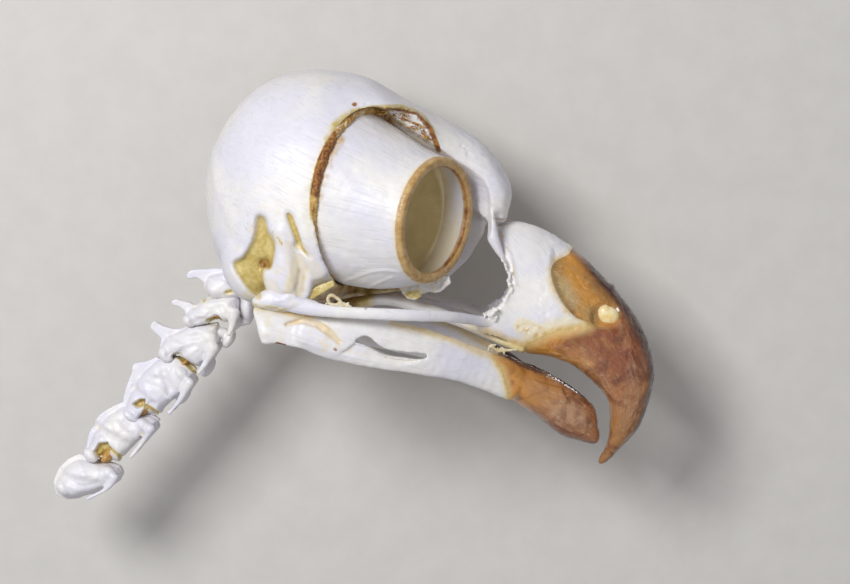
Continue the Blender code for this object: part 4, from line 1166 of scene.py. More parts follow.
def braincase(material):
    """The braincase, orbits and their partition."""
    obj = shaped(mesh_object("braincase_bone", braincase_forms()), BRAINCASE_GRAIN, 22)
    points = places(obj)
    side = right(points)
    hollow = region(side, EAR_HOLLOW, 0.9)
    depth = 1.4 * hollow + 0.9 * region(side, EAR_HOLE, 0.6) * hollow + 1.1 * region(side, SLIT, 0.6)
    points[:, 1] -= np.sign(points[:, 1]) * (depth * smoothstep(-side[:, 1], 9.0, 12.0))
    move(obj, points)
    foramen = ball((-1.6, 0, -1.2), (2.2, 2.4, 2.4))
    cut(obj, both(*orbit_forms()) + [foramen], grain=ORBIT_GRAIN)
    shaped(obj, BRAINCASE_GRAIN, 3, largest=True)

    points = places(obj)
    side = right(points)
    outer = smoothstep(-side[:, 1], 9.0, 12.0)
    rise = 0.09 * ripple(points, 13, 1) + 0.025 * ripple(points, 3.5, 2)
    rise -= 0.45 * stroke(side, PILLAR_FRONT, 0.8) * outer
    rise += 0.35 * stroke(side, PILLAR_RIDGE, 1.0) * outer
    rise -= 0.28 * near(side, through(OCCIPUT_GROOVE), 0.0, 1.8)
    rise += 0.16 * near(side, through(NUCHAL_RIDGE), 0.0, 1.6)
    rise -= 0.10 * smoothstep(-np.abs(points[:, 1]), -0.8, 0.0) * smoothstep(points[:, 2], 18, 22)
    for x, z, size in PITS + PORES:
        rise -= 0.8 * size * spot(side, x, z, 0, size * 1.6)
    brow = smoothstep(points[:, 0], 27, 33) * smoothstep(points[:, 2], 11, 14)
    rise += 0.04 * brow * ripple(points, 1.6, 9)
    points = lift(obj, rise * smoothstep(hollows(obj, 14), -0.35, -0.10))

    side = right(points)
    outer = smoothstep(-side[:, 1], 9.0, 12.0)
    upper_side = smoothstep(-side[:, 1], 4.0, 8.0)
    groove = orbit_groove()
    rim = most(
        0.8 * (stroke(side, ORBIT_BROW, 0.5) * upper_side),
        near(side, groove[36:54], 0.4, 1.2) * (0.78 + 0.3 * ripple(points, 3.6, 37)),
        near(side, groove[:40], 0.0, 0.6),
    )
    lower_rim = 0.35 + 0.65 * smoothstep(-side[:, 2], -26.5, -23.5)
    ear = region(side, EAR_HOLLOW, 1.0) * (0.70 + 0.30 * smoothstep(side[:, 2], 12.5, 9.0))
    # Painted shade, with some dried tissue: the underside between the orbits and the ear is tinted tan and
    # dark brown.
    under = smoothstep(points[:, 0], 9.0, 12.0) * smoothstep(-points[:, 2], -6.0, -3.5)
    under *= smoothstep(-points[:, 0], -29.0, -25.0) * smoothstep(-np.abs(points[:, 1]), -15.5, -13.5)
    # Painted shade: the orbits' inner walls, away from the side, are tinted tan.
    within = smoothstep(np.abs(points[:, 1]), 1.0, 1.6) * region(side, ORBIT_INSIDE, 2.0)
    recess = region(side, rounded(ORBIT_ROOF), 0.8) * smoothstep(side[:, 1], -12.0, -11.4)
    recess *= smoothstep(-side[:, 1], 6.0, 7.0)
    streaky = patchy(side * (1.0, 1.0, 0.35), 0.7, 28, -0.6, 0.5)
    flecks = [[(x, z, 0.05), (x + 0.2, z - 0.15, 0.02)] for x, z in EAR_FLECKS]
    tissue = most(
        most(ear, 0.9 * region(side, SLIT, 0.7)) * outer,
        0.85 * rim,
        0.85 * under,
        0.42 * strokes(side, PILLAR_FAN, 0.9) * streaky * outer,
        0.8 * stroke(side, PILLAR_CRUMBS, 0.3) * patchy(points, 0.9, 27, -0.3, 0.4) * outer,
        0.30 * within * (1 - outer),
        0.55 * recess * patchy(points, 2.0, 38, -0.2, 0.6),
        0.30 * stroke(side, PILLAR_FRONT, 0.9) * outer * patchy(points, 2.2, 35, -0.5, 0.5),
    )
    dark = most(
        near(side, groove[24:38], -0.2, 0.6) * (0.85 + 0.3 * ripple(points, 2.4, 34)) * lower_rim,
        0.75 * stroke(side, ORBIT_TOP_LINE, 0.2) * upper_side,
        0.62 * region(side, EAR_HOLE, 0.3) * outer,
        # Painted shade under the braincase, with dried tissue.
        under * (0.5 + 0.25 * ripple(points, 3.0, 40)),
        0.55 * strokes(side, flecks, 0.12) * outer,
        0.5 * recess * patchy(points, 1.4, 39, 0.2, 0.8),
        0.45 * stroke(side, HINGE_CREASE, 0.3),
        *[spot(side, x, z, 0.1, 0.35, 0.2) * outer for x, z in DARK_SPOTS],
        *[0.42 * spot(side, x, z, 0.0, size * 1.4, 0.05) for x, z, size in PITS],
    )
    cream = most(
        smoothstep(hollows(obj, 12), 0.03, 0.22),
        0.42 * near(side, groove, 0.5, 2.0),
        0.6 * region(side, EAR_HOLLOW, 2.6) * outer,
        0.5 * (region(side, EAR_SURROUND, 4.0) * patchy(points, 5.0, 42, -0.5, 0.6) * outer),
        0.75 * strokes(side, PILLAR_FAN, 1.2) * outer,
        0.5 * near(side, through(OCCIPUT_GROOVE), 0.0, 2.0),
        0.5 * stroke(side, PILLAR_FOOT, 1.6) * outer,
        0.4 * smoothstep(-points[:, 2], -3.5, 0.5),
    )
    x, y, z = points.T
    flow = np.column_stack((x * 0.9 - z * 0.45, x * 0.45 + z * 0.9, y))
    finished(obj, material, ["braincase"], (tissue, dark, cream), flow)


# Upper bill. UPPER_BILL and CHEEK_HOLLOW hold stations as ribs takes them, the rest is seen from the side.

UPPER_BILL = [
    (34.4, 9.6, 34.4, -5.6, 8.7, 0.30), (36.2, 10.9, 36.2, -6.4, 8.2, 0.30),
    (38.2, 11.6, 38.2, -7.2, 7.6, 0.32), (40.2, 11.8, 39.8, -7.7, 7.2, 0.34),
    (43.0, 11.1, 41.8, -7.9, 7.1, 0.36), (46.5, 9.2, 45.0, -8.3, 7.1, 0.34),
    (50.0, 6.5, 48.5, -9.7, 6.9, 0.32), (53.6, 2.9, 51.2, -11.9, 6.3, 0.34),
    (57.2, -1.4, 52.9, -13.6, 5.4, 0.36), (59.5, -5.6, 53.8, -15.2, 4.6, 0.40),
    (60.6, -10.0, 54.05, -17.0, 3.8, 0.44), (60.1, -14.2, 54.0, -19.0, 3.0, 0.46),
    (58.5, -18.7, 53.7, -21.0, 2.1, 0.48), (56.1, -21.7, 53.1, -22.6, 1.4, 0.5),
    (54.0, -23.9, 52.5, -23.6, 0.8, 0.5), (53.1, -24.5, 52.3, -24.1, 0.45, 0.5),
    (52.6, -24.6, 52.3, -24.4, 0.15, 0.5),
]
UPPER_SHEATH_EDGE = [
    (49.0, 12.0), (48.3, 7.8), (45.7, 6.0), (45.2, 4.0), (46.4, 0.9), (48.6, -1.8), (50.6, -3.2),
    (45.5, -4.1), (42.8, -5.5), (40.0, -7.4), (37.0, -8.6),
]
UPPER_SHEATH_BLOCK = [(36.0, -16.0), (48.0, -30.0), (66.0, -30.0), (66.0, 12.0)]
FOSSA = [
    (45.4, 6.6), (45.3, 4.4), (46.5, 1.0), (48.6, -1.7), (50.9, -3.1), (52.6, -3.4), (54.6, -2.4),
    (55.2, -0.6), (54.2, 1.4), (51.4, 4.2), (48.2, 6.9), (45.6, 8.0),
]
NOSTRIL = (53.4, -1.9)
CHEEK_EDGE = [
    (37.6, 12.9), (36.4, 10.4), (35.8, 9.1), (36.9, 8.3), (38.0, 6.6), (38.5, 4.9), (39.3, 4.1), (38.7, 3.2),
    (39.4, 2.2), (38.6, 1.0), (38.1, 0.0), (37.2, -1.4), (36.0, -2.2), (34.0, -2.4),
]
CHEEK_GAP = [(28.0, 14.0), *CHEEK_EDGE, (28.0, -2.4)]
CHEEK_FOOT = [
    (28.0, -4.0), (34.0, -4.5), (37.5, -6.1), (40.0, -7.5), (41.4, -8.6), (41.0, -12.0), (28.0, -12.0),
]
CHEEK_HOLLOW = [
    (30.0, 10.0, 30.0, -9.4, 7.7, 0.30), (36.0, 10.1, 36.0, -9.4, 7.3, 0.30),
    (39.5, 10.3, 39.5, -9.4, 6.3, 0.32), (42.4, 8.6, 41.6, -8.6, 5.2, 0.36),
    (44.0, 5.0, 43.0, -5.0, 3.4, 0.40),
]
CHEEK_LINE = [(37.0, 11.9, 0.06), (38.0, 9.8, 0.08), (38.9, 7.4, 0.06), (39.5, 5.2, 0.05), (39.9, 2.8, 0.02)]
CHEEK_KNOT = [(35.4, -1.6), (36.6, -1.4), (37.4, -0.8)]
CHEEK_STRAP = [(41.6, -7.0, 0.3), (38.4, -5.8, 0.5), (35.6, -4.2, 0.3)]
TORN_LINE = [(37.4, 7.4, 0.1), (39.2, 2.6, 0.1), (38.4, 0.6, 0.1)]
CRUMBS = [(40.9, -3.3, 0.6), (42.2, -3.9, 0.8), (43.4, -4.2, 0.6)]
HORN_BUMPS = [(48.2, 8.3), (54.4, 2.2)]
TOMIUM = [
    (43.5, -7.6), (48.0, -8.8), (51.6, -11.2), (54.0, -15.0), (54.0, -19.5), (52.0, -19.0), (49.0, -13.0),
    (44.0, -9.6),
]
RUBBED_LOW = [(46.0, -6.5), (50.5, -6.5), (55.0, -12.0), (55.5, -17.0), (53.0, -16.0), (50.0, -11.5)]
RUBBED_FRONT = [(56.8, -8.5), (59.4, -8.5), (59.2, -15.0), (56.5, -20.0), (55.6, -16.0)]
FOSSA_REAR = [(43.3, 7.6), (46.6, 7.6), (47.0, 3.0), (49.6, -1.0), (48.0, -2.2), (44.4, 2.4)]
FOSSA_MIDDLE = [(46.0, 4.2), (47.6, 3.6), (49.6, 0.6), (48.4, -0.6), (46.6, 1.8)]
FOSSA_FLOOR = [(50.0, 0.0), (53.4, -1.6), (52.0, -3.6), (49.6, -2.4)]
BILL_SIDE = [
    (51.0, -3.6), (55.5, -3.0), (58.5, -4.0), (60.2, -9.0), (59.4, -13.0), (55.0, -12.0), (51.5, -7.5),
]
NOSTRIL_FRONT = [(54.6, -2.6), (55.8, -2.6), (57.2, -6.6), (56.0, -7.0)]
UPPER_HORN_AREAS = [
    (BILL_SIDE, HORN_RED, 4.0, 0.8),
    (RUBBED_LOW, HORN_PINK, 3.0, 0.65),
    (TOMIUM, TOMIUM_GOLD, 1.6, 0.8),
    (RUBBED_FRONT, HORN_PINK, 2.5, 0.6),
    (NOSTRIL_FRONT, HORN_PINK, 1.2, 0.8),
    (FOSSA, HORN_AMBER, 1.2, 1.0),
    (FOSSA_REAR, HORN_OLIVE, 2.4, 0.9),
    (FOSSA_MIDDLE, FOSSA_PALE, 1.6, 0.7),
    (FOSSA_FLOOR, FOSSA_TAN, 1.5, 0.9),
]


def wavy(edge, amount, seed):
    """A line of (x, z) points drawn again with small waves."""
    rows = through(edge, 8)
    pick = np.random.default_rng(seed)
    bumps = np.convolve(pick.normal(size=len(rows) + 4), np.ones(5) / 5, "valid")
    return [(x, z + amount * b) for (x, z), b in zip(rows, bumps)]


def along_bill(points, stations):
    """How far each point lies along the bill in millimetres, and its share of the height there."""
    rows = through(stations, 12)
    middles = (rows[:, :2] + rows[:, 2:4]) / 2
    steps = np.linalg.norm(np.diff(middles, axis=0), axis=1)
    reach = np.concatenate(([0], np.cumsum(steps)))
    flat = points[:, (0, 2)]
    best = np.full(len(flat), 1e9)
    run, share = np.zeros(len(flat)), np.zeros(len(flat))
    for row, far in zip(rows, reach):
        upper, lower = row[:2], row[2:4]
        line = upper - lower
        t = np.clip((flat - lower) @ line / (line @ line), -0.1, 1.1)
        gap = np.linalg.norm(flat - lower - t[:, None] * line, axis=1)
        nearer = gap < best
        best[nearer], run[nearer], share[nearer] = gap[nearer], far, t[nearer]
    return run, share


def upper_bill(bone, horn):
    """The upper bill, split into its bone and its sheath. Gives its whole surface, for the nostril plugs."""
    whole = mesh_object("bill", [ribs(UPPER_BILL, square=1.9, keel=2.9)])
    remesh(whole, BILL_GRAIN)
    settle(whole)
    cut(whole, [ribs(CHEEK_HOLLOW, sides=48)])
    for outline in (torn(CHEEK_GAP, 0.3, 0.13, 31), torn(CHEEK_FOOT, 0.5, 0.05, 32)):
        cut(whole, [slab(outline, -CUT_REACH, CUT_REACH)])
    frayed = crumbs(CHEEK_EDGE[3:12], 110, 0.16, (0.10, 0.26), -7.6, -6.6, 5)
    knot = crumbs(CHEEK_KNOT, 46, 0.34, (0.12, 0.36), -8.8, -7.0, 6)
    joined(whole, mesh_object("shreds", both(*frayed, *knot)))
    shaped(whole, BILL_GRAIN, 3, largest=True)
    points = places(whole)
    side = right(points)
    outer = smoothstep(-side[:, 1], 2.0, 3.2)
    horned = smoothstep(along_bill(points, UPPER_BILL)[0], 7.5, 10.5)
    x, z = NOSTRIL
    fossa = region(side, FOSSA, 1.3) * outer
    nostril = stroke(side, [(x - 0.3, z, 1.3), (x + 0.3, z, 1.3)], 0.9) * outer
    rise = -0.55 * fossa - 1.0 * nostril + 0.05 * ripple(points, 5, 41)
    rise += 0.16 * stroke(side, CHEEK_LINE, 0.45) * outer
    rise += 0.12 * stroke(side, CRUMBS, 0.8) * patchy(points, 0.9, 46, -0.3, 0.6) * outer
    for x, z in HORN_BUMPS:
        rise += 0.30 * np.exp(-((points[:, 0] - x) ** 2 + (points[:, 2] - z) ** 2) / 0.35)
    rise -= 0.25 * stroke(side, HINGE_CREASE, 0.6)
    rise += 0.04 * ripple(points, 1.4, 43) * horned
    rise -= 0.05 * patchy(points * (1, 1, 0.25), 1.6, 45, 0.45, 0.75) * horned
    lift(whole, rise)
    edge = wavy(UPPER_SHEATH_EDGE, 0.15, 3)
    paint_upper_bone(split(whole, edge + UPPER_SHEATH_BLOCK, False, "upper_bill_bone"), edge, bone)
    paint_upper_horn(split(whole, edge + UPPER_SHEATH_BLOCK, True, "upper_sheath_horn"), edge, horn)
    tree = surface_tree(whole)
    bpy.data.objects.remove(whole)
    return tree


def line_of(edge, low=-100, high=100):
    """The part of an edge between two heights, as a line without width."""
    return [(x, z, 0.0) for x, z in edge if low < z < high]


def paint_upper_bone(obj, edge, material):
    """Tissue and cream along the sheath's edge, on the crumbs and strap, and in the cheek's hollows."""
    points = places(obj)
    side = right(points)
    outer = smoothstep(-side[:, 1], 2.0, 3.0)
    border, low_border = line_of(edge), line_of(edge, high=-2.6)
    tissue = most(
        0.62 * stroke(side, CRUMBS, 1.1) * patchy(points, 1.1, 15, -0.4, 0.4) * outer,
        0.5 * stroke(side, line_of(edge, -3, 8), 2.0) * (0.8 + 0.4 * ripple(points, 1.8, 26)) * outer,
        0.75 * stroke(side, low_border, 1.7),
        0.6 * stroke(side, CHEEK_STRAP, 1.7),
        0.6 * stroke(side, CHEEK_LINE, 0.25) * patchy(points, 1.8, 25, -0.4, 0.4),
    )
    cream = most(
        stroke(side, low_border, 3.6),
        0.7 * stroke(side, border, 1.8),
        0.9 * stroke(side, CRUMBS, 1.4) * outer,
        0.6 * stroke(side, TORN_LINE, 0.8) * patchy(points, 1.6, 19, 0.1, 0.6),
        0.5 * smoothstep(hollows(obj, 10), 0.03, 0.15),
    )
    x, y, z = points.T
    flow = np.column_stack((x - z, x + z, y))
    stain_and_shade = (tissue, 0.6 * stroke(side, HINGE_CREASE, 0.35), cream)
    finished(obj, material, ["upper_bill"], stain_and_shade, flow, SHEATH_CREASE_DEG)


def paint_upper_horn(obj, edge, material):
    """Gold at the root, brown to the tip, the fossa's dried skin, and the ridge on top darkened: partly the
    horn's own colour, partly a painted dark reflection.
    """
    points = places(obj)
    side = right(points)
    run, share = along_bill(points, UPPER_BILL)
    outer = smoothstep(-side[:, 1], 2.0, 3.0)
    fossa = region(side, FOSSA, 0.8) * outer
    # Darker along the ridge on top: the horn's own deeper colour with a painted dark reflection.
    dark = most(
        0.9 * smoothstep(share, 0.70, 1.0) * smoothstep(run, 10, 19),
        0.6 * smoothstep(share, 0.9, 1.02),
    )
    cream = most(
        stroke(side, line_of(edge, high=-2.6), 1.8),
        0.5 * stroke(side, line_of(edge, low=0), 1.0) * outer,
    )
    rubbed = 0.25 + region(side, RUBBED_LOW, 3.0) + region(side, RUBBED_FRONT, 2.0)
    base = np.array(HORN_GOLD)
    for shade, start, end in ((HORN_BROWN, 4, 13), (HORN_TIP, 19, 30)):
        blend = smoothstep(run - 6, start, end)[:, None]
        base = base * (1 - blend) + np.array(shade) * blend
    flow = np.column_stack((np.maximum(run - 6, 0), share * 14, side[:, 1]))
    stain_and_shade = (fossa, dark, cream * (1 - fossa), rubbed)
    tint = tinted(side, base, UPPER_HORN_AREAS)
    finished(obj, material, ["upper_sheath"], stain_and_shade, flow, SHEATH_CREASE_DEG, tint)


def nostril_plugs(tree, material):
    """The cream plugs that fill the nostrils."""
    x, z = NOSTRIL
    hit = tree.ray_cast(Vector((x, -CUT_REACH, z)), Vector((0, 1, 0)))
    depth = hit[0][1] if hit[0] is not None else -4.5
    forms = [
        ball((x + 0.2, depth - 0.1, z - 0.1), (1.75, 1.1, 1.45), (0, 20, 0)),
        ball((x - 0.2, depth - 0.1, z + 0.5), (1.25, 1.0, 1.1)),
    ]
    obj = fused("nostril_plug_right", forms, 0.12, smoothing=24)
    points = places(obj)
    rise = 0.03 * ripple(points, 3.2, 71)
    rise -= 0.10 * stroke(points, [(x + 0.4, z + 1.4, 0.0), (x + 0.5, z + 0.9, 0.0)], 0.5)
    cream = 0.35 * smoothstep(lift(obj, rise)[:, 2], z - 0.2, z + 0.8)
    pair(obj, "nostril_plug_left", material, stain_and_shade=(0.0, 0.0, cream))


# Lower bill and jaw. LOWER_BILL holds stations as ribs takes them, LOWER_TROUGH and RAMUS as limb does, and
# the rest is seen from the side.

LOWER_BILL = [
    (36.4, -7.4, 36.6, -13.4, 7.7, 0.5), (39.2, -8.4, 39.4, -14.9, 6.9, 0.55),
    (42.1, -9.2, 43.0, -17.4, 5.8, 0.6), (45.0, -10.4, 46.5, -20.1, 4.6, 0.62),
    (48.0, -12.3, 48.8, -21.0, 3.6, 0.62), (50.2, -14.2, 50.6, -21.4, 2.6, 0.6),
    (51.7, -16.1, 52.0, -21.6, 1.5, 0.5), (52.1, -17.6, 52.6, -20.6, 0.6, 0.5),
]
LOWER_TROUGH = [
    (32.0, 0, -10.0, 7.6, 7.5), (37.0, 0, -10.2, 6.2, 6.2), (41.0, 0, -10.8, 4.7, 4.6),
    (45.0, 0, -12.2, 3.4, 3.6), (48.5, 0, -13.6, 2.2, 2.6), (50.6, 0, -14.6, 1.2, 1.6),
]
LOWER_SHEATH_EDGE = [(35.6, -5.0), (37.2, -8.7), (38.1, -10.2), (38.8, -12.6), (39.2, -16.6)]
LOWER_SHEATH_BLOCK = [(44.0, -26.0), (58.0, -26.0), (58.0, -5.0)]
LOWER_SCALE = [(42.6, -11.5), (46.8, -12.9), (48.0, -15.2), (46.4, -14.8), (44.6, -14.0)]
LOWER_REAR = [(36.0, -8.0), (41.5, -10.0), (42.5, -14.0), (41.5, -18.0), (38.0, -14.0)]
LOWER_KEEL = [(43.0, -17.0), (47.0, -18.6), (51.0, -20.6), (48.0, -22.5), (42.0, -19.5)]
LOWER_TIP = [(45.0, -14.0), (49.5, -15.5), (51.5, -19.0), (48.5, -18.6), (45.0, -17.0)]
LOWER_HORN_AREAS = [
    (LOWER_REAR, LOWER_GOLD, 3.0, 0.9),
    (LOWER_KEEL, LOWER_DARK, 2.0, 0.8),
    (LOWER_TIP, LOWER_TAN, 2.0, 0.7),
]
RAMUS = [
    (9.0, -16.5, -3.4, 1.2, 2.2), (12.0, -16.3, -4.2, 1.2, 2.9), (16.0, -15.7, -4.8, 1.1, 3.4),
    (20.0, -14.8, -5.3, 0.95, 3.7), (25.0, -13.2, -6.3, 0.9, 3.6), (30.0, -11.0, -7.7, 0.95, 3.2),
    (34.0, -8.8, -9.2, 1.1, 2.9), (38.0, -6.6, -11.0, 1.3, 2.9), (40.0, -5.6, -12.2, 1.3, 2.6),
]
FENESTRA = [
    (16.9, -4.9), (17.3, -4.4), (18.2, -4.1), (19.1, -4.4), (19.9, -5.2), (21.3, -6.1), (23.4, -6.5),
    (26.0, -6.8), (27.0, -7.0), (27.1, -7.5), (25.9, -7.7), (23.6, -7.4), (21.4, -7.0), (19.6, -6.1),
    (18.3, -5.4),
]
JAW_HEEL = [
    (2.0, -0.3), (2.6, 0.5), (4.6, 0.4), (7.4, -0.4), (10.3, -0.9), (13.0, -1.6), (15.0, -2.4), (15.0, -7.6),
    (11.1, -6.5), (8.2, -5.7), (5.3, -5.1), (4.2, -5.3), (3.4, -5.2), (3.1, -4.4),
]
JAW_RIDGE = [(4.0, -3.4, 0.2), (9.0, -4.2, 0.3), (14.0, -6.0, 0.3)]
JAW_GROOVE = [(7.0, -2.4, 0.05), (9.4, -1.7, 0.2), (11.6, -2.3, 0.35), (13.3, -3.6, 0.35), (14.6, -4.9, 0.1)]
JAW_TOP_EDGE = [
    (22.0, -2.3, 0.05), (26.0, -3.4, 0.1), (31.0, -5.0, 0.2), (35.0, -6.9, 0.35), (38.6, -8.2, 0.5),
]
JAW_SHELF = [(15.1, -6.5), (17.0, -5.0), (19.3, -5.5), (21.6, -7.1), (25.9, -7.9), (24.0, -8.3), (20.0, -7.5)]
JAW_JOINT_LINE = [(2.4, 0.3, 0.1), (5.0, 0.1, 0.2), (8.0, -0.8, 0.2), (10.4, -1.2, 0.1)]
HEEL_SPECK = [(5.6, -5.2, 0.2), (6.6, -5.5, 0.2)]
GROOVE_SPECK = [(13.9, -5.9, 0.1), (14.1, -6.0, 0.1)]


def facing_out(obj):
    """1 where the surface faces away from the middle plane."""
    return smoothstep(-normals(obj)[:, 1] * np.sign(-places(obj)[:, 1]), -0.2, 0.4)


def lower_bill(bone, horn):
    """The lower jaw with its trough and slits, split into its bone and its sheath."""
    heel, heel_faces = slab(JAW_HEEL, -17.8, -15.5)
    heel[:, 1] += 1.5 * smoothstep(heel[:, 0], 5.0, 14.5)
    lump = ball((12.2, -16.3, -3.0), (2.6, 1.1, 1.3), (0, 35, 0))
    front = ribs(LOWER_BILL, square=2.4, keel=2.2)
    forms = [front] + both(limb(RAMUS, sides=32), (heel, heel_faces), lump)
    whole = shaped(mesh_object("lower", forms), BILL_GRAIN, 14)
    notch = ball((53.1, 0, -18.7), (0.95, 5, 1.1))
    cut(whole, [limb(LOWER_TROUGH, sides=40), notch] + both(slab(rounded(FENESTRA), -20, -9)))
    shaped(whole, BILL_GRAIN, 3, largest=True)
    points = places(whole)
    side = right(points)
    outer = smoothstep(-side[:, 1], 8.0, 11.0) * facing_out(whole)
    rise = 0.05 * ripple(points, 4, 51)
    rise += 0.20 * stroke(side, JAW_RIDGE, 1.0)
    rise -= 0.45 * stroke(side, JAW_GROOVE, 0.35) * outer
    rise -= 0.40 * region(side, JAW_SHELF, 0.6) * outer
    rise += 0.22 * region(side, LOWER_SCALE, 0.4) * smoothstep(-side[:, 1], 1.0, 2.0)
    lift(whole, rise)
    edge = wavy(LOWER_SHEATH_EDGE, 0.25, 9)
    paint_lower_bone(split(whole, edge + LOWER_SHEATH_BLOCK, False, "mandible_bone"), edge, bone)
    paint_lower_horn(split(whole, edge + LOWER_SHEATH_BLOCK, True, "lower_sheath_horn"), edge, horn)
    bpy.data.objects.remove(whole)


def paint_lower_bone(obj, edge, material):
    """Tissue and cream along the jaw's upper edge, its groove, its joint and the sheath's edge."""
    points = places(obj)
    side = right(points)
    out = facing_out(obj)
    tissue = most(
        0.5 * stroke(side, JAW_TOP_EDGE, 0.9),
        0.5 * stroke(side, JAW_GROOVE, 0.9) * out,
        0.75 * stroke(side, line_of(edge), 1.0),
        0.6 * stroke(side, JAW_JOINT_LINE, 0.8) * out,
    )
    dark = most(stroke(side, HEEL_SPECK, 0.3), 0.7 * stroke(side, GROOVE_SPECK, 0.3))
    cream = most(
        0.8 * stroke(side, line_of(edge), 1.9),
        0.6 * smoothstep(hollows(obj, 10), 0.02, 0.12),
        0.62 * stroke(side, JAW_TOP_EDGE, 1.8),
        0.5 * region(side, JAW_HEEL, 2.0) * patchy(points, 3.0, 52, -0.1, 0.6),
        0.5 * region(side, JAW_SHELF, 0.8) * patchy(points, 1.4, 29, -0.2, 0.4),
        0.75 * stroke(side, JAW_JOINT_LINE, 1.8) * out,
    )
    x, y, z = points.T
    flow = np.column_stack((x, z + 0.28 * x, y))
    finished(obj, material, ["mandible"], (tissue, dark, cream), flow, SHEATH_CREASE_DEG)


def paint_lower_horn(obj, edge, material):
    """Brown horn, golden behind, darker at its lower and upper edges, and darkened high on the left side as
    painted shade on the trough's far wall.
    """
    points = places(obj)
    side = right(points)
    run, share = along_bill(points, LOWER_BILL)
    dark = most(
        0.8 * smoothstep(-share, -0.16, 0.02) * smoothstep(run, 3, 8),
        0.4 * smoothstep(share, 0.93, 1.05),
        # Painted shade: the far side's upper part, seen across the trough, is darkened.
        0.9 * (smoothstep(points[:, 1], 0.5, 2.0) * smoothstep(share, 0.7, 0.95)),
    )
    stain_and_shade = (0.0, dark, 0.9 * stroke(side, line_of(edge), 1.1), 0.2 + smoothstep(run, 4, 7))
    flow = np.column_stack((run * 1.2, share * 9, points[:, 1]))
    tint = tinted(side, LOWER_BROWN, LOWER_HORN_AREAS)
    finished(obj, material, ["lower_sheath"], stain_and_shade, flow, SHEATH_CREASE_DEG, tint)


# Jaw joint, cheek bars and palate. All but QUADRATE_SEAM and QUADRATE_STAIN are stations for limb.

QUADRATE = [
    (2.8, -16.8, 0.7, 1.4, 1.0), (4.4, -17.3, 1.2, 1.8, 1.5), (6.8, -17.6, 1.1, 1.7, 1.55),
    (9.2, -18.0, 0.6, 1.2, 1.15), (11.4, -18.2, 0.1, 0.8, 0.95),
]
QUADRATE_HEAD = [(6.4, -16.8, 1.2, 1.3, 1.8), (5.4, -16.4, 3.2, 1.1, 1.5), (4.6, -15.8, 5.6, 1.0, 1.1)]
QUADRATE_PRONG = [(7.2, -16.2, 1.2, 1.0, 1.0), (9.6, -13.6, 2.2, 0.6, 1.0), (11.2, -11.4, 3.0, 0.4, 0.8)]
QUADRATE_SEAM = [(2.0, 0.3, 0.2), (4.6, -0.2, 0.3), (8.6, -0.7, 0.2)]
QUADRATE_STAIN = [(1.8, 2.4, 0.3), (3.0, 1.8, 0.3)]
JUGAL = [
    (6.8, -18.0, 1.0, 0.9, 1.3), (9.6, -18.5, 0.3, 0.7, 1.15), (14.0, -18.5, -0.4, 0.55, 0.9),
    (23.4, -17.6, -0.9, 0.5, 0.9), (30.0, -14.0, -1.4, 0.5, 0.85), (34.6, -8.9, -2.4, 0.5, 0.78),
    (36.6, -7.4, -2.9, 0.45, 0.72), (38.4, -6.2, -3.3, 0.4, 0.6),
]
PALATINE = [
    (12.6, -2.9, -1.0, 1.0, 0.6), (20.3, -3.8, 0.3, 1.5, 0.8), (26.0, -4.3, -0.9, 1.6, 1.0),
    (32.0, -4.6, -3.0, 1.3, 0.8), (37.6, -4.9, -5.6, 1.3, 0.6), (41.0, -5.0, -6.9, 1.4, 0.6),
]
PTERYGOID = [(13.2, -3.2, -1.0, 0.8, 0.7), (10.4, -8.2, -1.7, 0.6, 0.6), (8.0, -13.8, -0.6, 0.8, 0.7)]
VOMER = [(18.0, -3.2, -0.2, 1.0, 0.7), (18.0, 0, -0.4, 1.0, 0.6), (18.0, 3.2, -0.2, 1.0, 0.7)]


def jaw_joint(bone):
    """Both quadrates."""
    forms = [
        limb(QUADRATE),
        limb(QUADRATE_HEAD, (1, 0, 0)),
        limb(QUADRATE_PRONG),
        ball((4.9, -18.2, 1.9), (1.3, 0.8, 0.85)),
        ball((7.4, -18.5, 1.7), (1.3, 0.8, 0.8)),
    ]
    obj = fused("quadrate_right_bone", forms, 0.18, smoothing=10)
    points = lift(obj, 0.07 * ripple(places(obj), 3.0, 61))
    tissue, dark, cream = cavities(obj, 1.0)
    seam = stroke(points, QUADRATE_SEAM, 0.9)
    tissue = most(
        tissue,
        0.65 * seam * patchy(points, 1.8, 62, -0.7, 0.3),
        0.55 * stroke(points, QUADRATE_STAIN, 0.8),
    )
    cream = most(cream, 0.7 * seam, 0.45 * patchy(points, 2.6, 64, -0.1, 0.6))
    pair(obj, "quadrate_left_bone", bone, ["quadrate_right", "quadrate_left"], stain_and_shade=(tissue, dark, cream))


def cheek_bars(bone):
    """Both jugals."""
    obj = fused("jugal_right_bone", [limb(JUGAL, sides=24)], 0.16, smoothing=3)
    points = lift(obj, 0.02 * ripple(places(obj), 4.0, 63))
    cream = most(cavities(obj)[2], 0.35 * smoothstep(points[:, 0], 33.0, 37.0))
    tissue = 0.3 * smoothstep(points[:, 0], 35.0, 38.0) * patchy(points, 1.2, 2, 0.0, 0.4)
    pair(obj, "jugal_left_bone", bone, ["jugal_right", "jugal_left"], stain_and_shade=(tissue, 0.0, cream))


